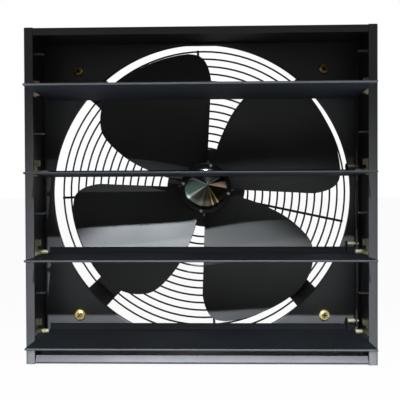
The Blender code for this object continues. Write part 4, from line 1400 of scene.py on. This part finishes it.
@dataclass
class Impeller:
    """The pressed impeller: four broad pitched blades on a drum, and the hub on its front.

    The outline gives a blade's rows from the drum to the tip: the share of the radius, the
    degrees at which the row starts and ends, and its share of the pitch. A full row rises
    from back to front over span degrees. The names in _ease are the radii of eased corners.
    """

    tip: float = 0.1500
    sheet: float = 0.0012
    front: float = 0.0545
    back: float = 0.0812
    span: float = 77.0
    starts: Sequence[float] = (-3.0, 87.0, 177.5, 268.0)
    outline: Sequence[tuple[float, float, float, float]] = (
        (0.170, 0.0, 77.0, 0.78),
        (0.250, 0.0, 77.0, 0.82),
        (0.330, 0.0, 76.8, 0.88),
        (0.450, 0.0, 75.0, 0.96),
        (0.560, 0.0, 73.2, 1.00),
        (0.660, 0.0, 70.8, 1.00),
        (0.790, 0.0, 67.0, 1.00),
        (0.850, 0.8, 64.4, 1.00),
        (0.890, 1.6, 61.4, 1.00),
        (0.930, 2.8, 57.6, 1.00),
        (0.960, 4.2, 53.6, 1.00),
        (0.985, 6.4, 49.0, 1.00),
        (1.000, 10.5, 43.0, 1.00),
    )
    rows_between: int = 3
    columns: int = 28
    drum_radius: float = 0.0275
    drum_wall: float = 0.0025
    drum_front: float = 0.0578
    drum_length: float = 0.0240
    drum_boss: float = 0.0090
    bore: float = 0.0043
    hub_front: float = 0.0550
    ring_radius: float = 0.0270
    ring_sheet: float = 0.0025
    cap_radius: float = 0.0222
    cap_height: float = 0.0030
    cap_lip: float = 0.0008
    cap_steps: int = 12
    cap_power: float = 0.85
    drum_ease: float = 0.0006
    ring_ease: float = 0.0009
    rivet_edge_mm: float = 0.3
    segments: int = 72
    cap_segments: int = 96

    def rows(self) -> list[tuple[float, float, float, float]]:
        """The outline's rows with smooth rows read in between."""
        out = []
        rows = self.outline
        last = len(rows) - 1
        for number in range(last):
            window = [rows[max(0, min(last, number + k))] for k in (-1, 0, 1, 2)]
            for step in range(self.rows_between):
                t = step / self.rows_between
                out.append(tuple(self.smooth_step(four, t) for four in zip(*window)))
        out.append(rows[last])
        return out

    @staticmethod
    def smooth_step(four: Sequence[float], t: float) -> float:
        """A point between the middle two of four values, on a smooth curve through them."""
        a, b, c, d = four
        return 0.5 * (
            2 * b
            + (c - a) * t
            + (2 * a - 5 * b + 4 * c - d) * t * t
            + (3 * b - a - 3 * c + d) * t**3
        )

    def blade_point(self, share: float, turn: float, rise_share: float, start: float) -> Vector:
        """A point on a blade's middle surface."""
        angle = math.radians(start + turn)
        rise = (self.back - self.front) * rise_share * turn / self.span
        radius = share * self.tip
        return PLACE.at(
            HUB_AT[0] + radius * math.cos(angle),
            self.back - rise,
            HUB_AT[1] + radius * math.sin(angle),
        )

    def skin(self, cells: Cells, grid: Sequence[Sequence[Vector]], side: int) -> list[list[Vert]]:
        """One face of a blade, half a sheet off its middle surface.

        Args:
            cells: the mesh that it joins.
            grid: the middle surface's points, row by row.
            side: 1 or -1, for the side of the surface.

        Returns:
            The face's points, row by row.
        """
        high, wide = len(grid) - 1, self.columns
        skin = []
        for i, row in enumerate(grid):
            line = []
            for j, spot in enumerate(row):
                outwards = grid[min(i + 1, high)][j] - grid[max(i - 1, 0)][j]
                round_axis = row[min(j + 1, wide)] - row[max(j - 1, 0)]
                normal = outwards.cross(round_axis).normalized()
                line.append(cells.verts.new(spot + normal * (side * self.sheet / 2)))
            skin.append(line)
        for i in range(high):
            for j in range(wide):
                cells.faces.new((skin[i][j], skin[i][j + 1], skin[i + 1][j + 1], skin[i + 1][j]))
        return skin

    def build_blade(self, cells: Cells, start: float) -> None:
        """One blade as a sheet with both faces and an edge all round."""
        grid = [
            [
                self.blade_point(
                    share, first + (last - first) * n / self.columns, rise_share, start
                )
                for n in range(self.columns + 1)
            ]
            for share, first, last, rise_share in self.rows()
        ]
        near, far = (self.skin(cells, grid, side) for side in (-1, 1))
        high, wide = len(grid) - 1, self.columns
        rim = (
            [(0, j) for j in range(wide)]
            + [(i, wide) for i in range(high)]
            + [(high, wide - j) for j in range(wide)]
            + [(high - i, 0) for i in range(high)]
        )
        bridge(cells, [near[i][j] for i, j in rim], [far[i][j] for i, j in rim])

    def build(self) -> None:
        """Builds the impeller, hub ring, cap and rivets in their nodes' places."""
        cells = bmesh.new()
        for start in self.starts:
            self.build_blade(cells, start)
        end = self.drum_front + self.drum_length
        drum = eased(
            [
                (self.bore, self.drum_front),
                (self.drum_radius, self.drum_front),
                (self.drum_radius, end),
                (self.drum_radius - self.drum_wall, end),
                (self.drum_radius - self.drum_wall, self.drum_front + self.drum_wall),
                (self.drum_boss, self.drum_front + self.drum_wall),
                (self.drum_boss, end - self.drum_wall),
                (self.bore, end - self.drum_wall),
            ],
            self.drum_ease,
        )
        turned(cells, drum, HUB_AXIS, self.segments, closed=True)
        piece = shown("impeller_form", cells, BLADE_COAT)
        fit(piece, "fan_rotor", ["impeller"])
        self.build_hub()

    def build_hub(self) -> None:
        """The black ring, the spun cap and the four rivets."""
        ring = eased(
            [
                (self.bore, self.hub_front + self.ring_sheet),
                (self.bore, self.hub_front),
                (self.ring_radius, self.hub_front),
                (self.ring_radius, self.hub_front + self.ring_sheet),
            ],
            self.ring_ease,
        )
        piece = turned_piece("hub_ring_form", ring, self.segments, HUB_COAT, closed=True)
        fit(piece, "fan_rotor", ["hub_ring"])
        back = self.hub_front - AIR_GAP
        rim = back - self.cap_lip
        dome = [(0.0, rim - self.cap_height)]
        for n in range(1, self.cap_steps):
            share = n / self.cap_steps
            fall = self.cap_height * (1 - math.sqrt(1 - share**2)) ** self.cap_power
            dome.append((self.cap_radius * share, rim - self.cap_height + fall))
        dome += [(self.cap_radius, rim), (self.cap_radius, back), (0.0, back)]
        chrome = replace(CAP_CHROME, centre=tuple(HUB_AXIS))
        piece = turned_piece("hub_cap_form", dome, self.cap_segments, chrome)
        fit(piece, "fan_rotor", ["hub_cap"])
        for number in range(1, len(self.starts) + 1):
            rivet, edge = f"hub_rivet_{number}", self.rivet_edge_mm
            fit_eased(rivet, BRIGHT_ZINC, "fan_rotor", edge, segments=3)


@dataclass
class Motor:
    """The motor behind the bracket: two covers, with the shaft, bearings, stator and rotor."""

    radius: float = 0.0425
    wall: float = 0.0025
    front: float = 0.0918
    front_length: float = 0.0180
    rear_length: float = 0.0400
    boss_radius: float = 0.0107
    boss_length: float = 0.0060
    shaft_hole: float = 0.0043
    spigot: float = 0.0030
    front_ease: float = 0.0007
    rear_ease: float = 0.0012
    segments: int = 96

    def build(self) -> None:
        """Builds the covers, and gives the inner pieces their finishes."""
        split = self.front + self.front_length
        front = eased(
            [
                (self.shaft_hole, self.front + self.wall),
                (self.shaft_hole, self.front - self.boss_length),
                (self.boss_radius, self.front - self.boss_length),
                (self.boss_radius, self.front),
                (self.radius, self.front),
                (self.radius, split),
                (self.radius - self.wall, split),
                (self.radius - self.wall, self.front + self.wall),
            ],
            self.front_ease,
        )
        name = "motor_front_cover_form"
        piece = turned_piece(name, front, self.segments, MOTOR_ENAMEL, closed=True)
        fit(piece, "frame", ["motor_front_cover"])
        start = split + AIR_GAP
        end = start + self.rear_length
        inner = self.radius - self.wall
        rear = eased(
            [
                (0.0, end - self.wall),
                (inner, end - self.wall),
                (inner, start),
                (self.radius, start),
                (self.radius, end - self.spigot),
                (self.radius - self.spigot, end),
                (0.0, end),
            ],
            self.rear_ease,
        )
        piece = turned_piece("motor_rear_cover_form", rear, self.segments, MOTOR_ENAMEL)
        fit(piece, "frame", ["motor_rear_cover"])
        for name in ("stator", "rotor"):
            repaint(name, CORE_STEEL)
        for name in ("shaft", "bearing_front", "bearing_rear"):
            repaint(name, SHAFT_STEEL)


@dataclass
class TerminalBox:
    """The terminal box behind the motor, with its lid and cable gland."""

    edges_mm: Sequence[tuple[str, float]] = (
        ("terminal_box", 0.8),
        ("terminal_box_lid", 0.5),
        ("cable_gland", 0.4),
    )

    def build(self) -> None:
        """Builds the moulded pieces from their CAD forms with moulded edges."""
        for name, edge in self.edges_mm:
            fit_eased(name, BOX_PLASTIC, "frame", edge, segments=3)


@dataclass
class Guard:
    """The rear guard: round wires in rings, welded to four spokes.

    The rings start at radius and follow step by step inwards. The spokes' directions are in
    degrees, as seen from the front.
    """

    centre: Point2 = (0.0020, 0.1654)
    ring_wire: float = 0.0010
    spoke_wire: float = 0.00135
    spoke_behind: float = 0.0009
    radius: float = 0.1600
    step: float = 0.00842
    count: int = 14
    depth: float = 0.0928
    spokes: Sequence[float] = (92.0, 274.5, 182.0, -12.0)
    segments: int = 96
    spoke_sides: int = 10

    def at(self, radius: float, degrees: float, depth: float) -> Vector:
        """A point of the guard from its radius and angle seen from the front."""
        turn = math.radians(degrees)
        return PLACE.at(
            self.centre[0] + radius * math.cos(turn),
            depth,
            self.centre[1] + radius * math.sin(turn),
        )

    def build(self) -> None:
        """Builds the whole guard as one piece."""
        cells = bmesh.new()
        radii = [self.radius - self.step * n for n in range(self.count)]
        for radius in radii:
            points = [
                self.at(radius, 360 * n / self.segments, self.depth) for n in range(self.segments)
            ]
            wire(cells, points, self.ring_wire, closed=True)
        for degrees in self.spokes:
            path = [
                self.at(radius, degrees, self.depth + self.spoke_behind)
                for radius in (radii[0] + self.spoke_wire, radii[-1] - self.spoke_wire)
            ]
            wire(cells, path, self.spoke_wire, closed=False, sides=self.spoke_sides)
        piece = shown("guard_form", cells, WIRE_COAT)
        fit(piece, "frame", ["guard"])


@dataclass(frozen=True)
class Lamp:
    """A spot lamp.

    Args:
        name: what it is.
        at: where it stands.
        aim: the point that its axis passes through.
        cone: the full angle of its beam, in degrees.
        blend: the share of the beam over which it fades.
        radius: the radius of its glowing face, which softens the shadows.
        watts: its power.
        tint: the colour of its light.
        widen: how much wider than high its beam is.
        only: what the names of the pieces that it lights begin with, or nothing for all.
    """

    name: str
    at: Point3
    aim: Point3
    cone: float
    blend: float
    radius: float
    watts: float
    tint: str = WHITE
    widen: float = 1.0
    only: tuple[str, ...] = ()

    def build(self) -> None:
        """Adds the lamp to the scene."""
        data = bpy.data.lights.new(self.name, "SPOT")
        data.energy = self.watts
        data.color = linear(self.tint)[:3]
        data.spot_size = math.radians(self.cone)
        data.spot_blend = self.blend
        data.shadow_soft_size = self.radius
        lamp = placed(self.name, data)
        lamp.location = self.at
        aim = Vector(self.aim) - Vector(self.at)
        lamp.rotation_euler = aim.to_track_quat("-Z", "Y").to_euler()
        lamp.scale = (self.widen, 1.0, 1.0)
        if self.only:
            lit = bpy.data.collections.new(f"lit_by_{self.name}")
            for piece in bpy.data.objects:
                if piece.type == "MESH" and piece.name.startswith(self.only):
                    lit.objects.link(piece)
            lamp.light_linking.receiver_collection = lit


@dataclass
class Studio:
    """The camera, the lamps, the pale floor and the white room.

    The camera's turns are in degrees. The room's light for reflections goes from room_low
    below to room_high above over room_rise, and room_back is added behind the fan over
    room_turn. The eye sees floor_share of the floor as pure white, and a glossy reflection
    sees floor_gloss of it so.
    """

    focal_px: float = 521.5
    camera_at: Point3 = (0.01004, -0.53535, 0.17519)
    yaw: float = 1.283
    pitch: float = -0.647
    roll: float = 0.250
    shift_px: Point2 = (-1.218, -10.354)
    sensor: float = 36.0
    lamps: Sequence[Lamp] = (
        Lamp(
            "key_lamp",
            (0.0, -1.994, 1.687),
            (0.0, -0.033, -0.215),
            cone=16.4,
            blend=1.0,
            radius=0.03,
            watts=740.0,
            tint="#f6faff",
            widen=3.0,
        ),
        Lamp(
            "blade_lamp",
            (-0.18, -0.80, 0.594),
            (-0.024, -0.0626, 0.1),
            cone=12.0,
            blend=0.14,
            radius=0.012,
            watts=130.0,
            tint="#eef5ff",
            widen=1.64,
            only=("impeller", "hub", "bracket_screw"),
        ),
        Lamp(
            "table_lamp",
            (0.0, -1.45, 0.012),
            (0.0, -0.035, 0.003),
            cone=0.5,
            blend=0.4,
            radius=0.004,
            watts=185.0,
            tint="#f4f7ff",
            widen=36.0,
        ),
    )
    room_low: float = 0.26
    room_high: float = 0.10
    room_back: float = 0.45
    room_rise: Range = (-0.1, 0.45)
    room_turn: Range = (0.0, 0.8)
    floor_share: float = 0.96
    floor_gloss: float = 0.12
    floor_colour: str = "#a6a6a6"
    floor_half: float = 6.0
    floor_drop: float = 0.0002
    floor_roughness: float = 0.9

    def camera(self) -> None:
        """The photograph's viewpoint, worked out from the rim, louvre edges and screws."""
        data = bpy.data.cameras.new("photo_camera")
        data.sensor_width = self.sensor
        data.lens = self.focal_px / PHOTO_SIDE * self.sensor
        data.shift_x = -self.shift_px[0] / PHOTO_SIDE
        data.shift_y = self.shift_px[1] / PHOTO_SIDE
        data.clip_start = 0.01
        data.clip_end = 100.0
        camera = placed("photo_camera", data)
        turn = (
            Matrix.Rotation(math.radians(self.yaw), 4, "Z")
            @ Matrix.Rotation(math.radians(self.pitch), 4, "X")
            @ Matrix.Rotation(math.radians(self.roll), 4, "Y")
            @ Matrix.Rotation(math.radians(90), 4, "X")
        )
        camera.matrix_world = Matrix.Translation(self.camera_at) @ turn
        bpy.context.scene.camera = camera

    def world(self) -> None:
        """A white room for the eye, but dim above and towards the viewer for reflections."""
        world = bpy.data.worlds.new("white_room")
        bpy.context.scene.world = world
        world.use_nodes = True
        tree = world.node_tree
        tree.nodes.clear()
        way = add_node(tree, "TexCoord").outputs["Generated"]
        parts = add_node(tree, "SeparateXYZ", links={0: way})
        height = number_band(
            tree, parts.outputs["Z"], self.room_rise, (self.room_low, self.room_high)
        )
        back = number_band(tree, parts.outputs["Y"], self.room_turn, (0.0, self.room_back))
        level = calculated(tree, "ADD", height, back)
        white = {"Color": linear(WHITE)}
        dim = add_node(tree, "Background", white, {"Strength": level}).outputs[0]
        bright = add_node(tree, "Background", {**white, "Strength": 1.0}).outputs[0]
        eye = add_node(tree, "LightPath").outputs["Is Camera Ray"]
        mixed = add_node(tree, "MixShader", links={0: eye, 1: dim, 2: bright}).outputs[0]
        add_node(tree, "OutputWorld", links={"Surface": mixed})

    def floor(self) -> None:
        """A pale floor that looks white and keeps the fan's soft shadow."""
        cells = bmesh.new()
        bmesh.ops.create_grid(cells, x_segments=2, y_segments=2, size=self.floor_half)
        mesh = bpy.data.meshes.new("floor")
        cells.to_mesh(mesh)
        cells.free()
        floor = placed("floor", mesh)
        floor.location = (0, 0, -self.floor_drop)
        material = bpy.data.materials.new("pale_floor")
        material.use_nodes = True
        tree = material.node_tree
        shader = tree.nodes["Principled BSDF"]
        shader.inputs["Base Color"].default_value = linear(self.floor_colour)
        shader.inputs["Roughness"].default_value = self.floor_roughness
        glow = add_node(tree, "Emission", {"Color": linear(WHITE), "Strength": 1.0})
        path = add_node(tree, "LightPath")
        gloss = calculated(tree, "MULTIPLY", path.outputs["Is Glossy Ray"], self.floor_gloss)
        seen = calculated(tree, "MULTIPLY", path.outputs["Is Camera Ray"], self.floor_share)
        share = calculated(tree, "MAXIMUM", seen, gloss)
        mixed = add_node(
            tree, "MixShader", links={0: share, 1: shader.outputs[0], 2: glow.outputs[0]}
        )
        tree.links.new(mixed.outputs[0], tree.nodes["Material Output"].inputs["Surface"])
        mesh.materials.append(material)

    def build(self) -> None:
        """Sets up everything round the fan."""
        bpy.context.scene.view_settings.view_transform = "Standard"
        self.camera()
        for lamp in self.lamps:
            lamp.build()
        self.world()
        self.floor()


def main() -> None:
    """Builds the fan's sub-assemblies in order, then the room round it."""
    logging.basicConfig(level=logging.INFO, format="%(name)s: %(message)s")
    Casing().build()
    BackPlate().build()
    Bracket().build()
    Fixings().build()
    for number in range(1, LOUVRES + 1):
        Louvre(number).build()
    LouvreGear().build()
    Impeller().build()
    Motor().build()
    TerminalBox().build()
    Guard().build()
    Studio().build()


if __name__ == "__main__":
    main()
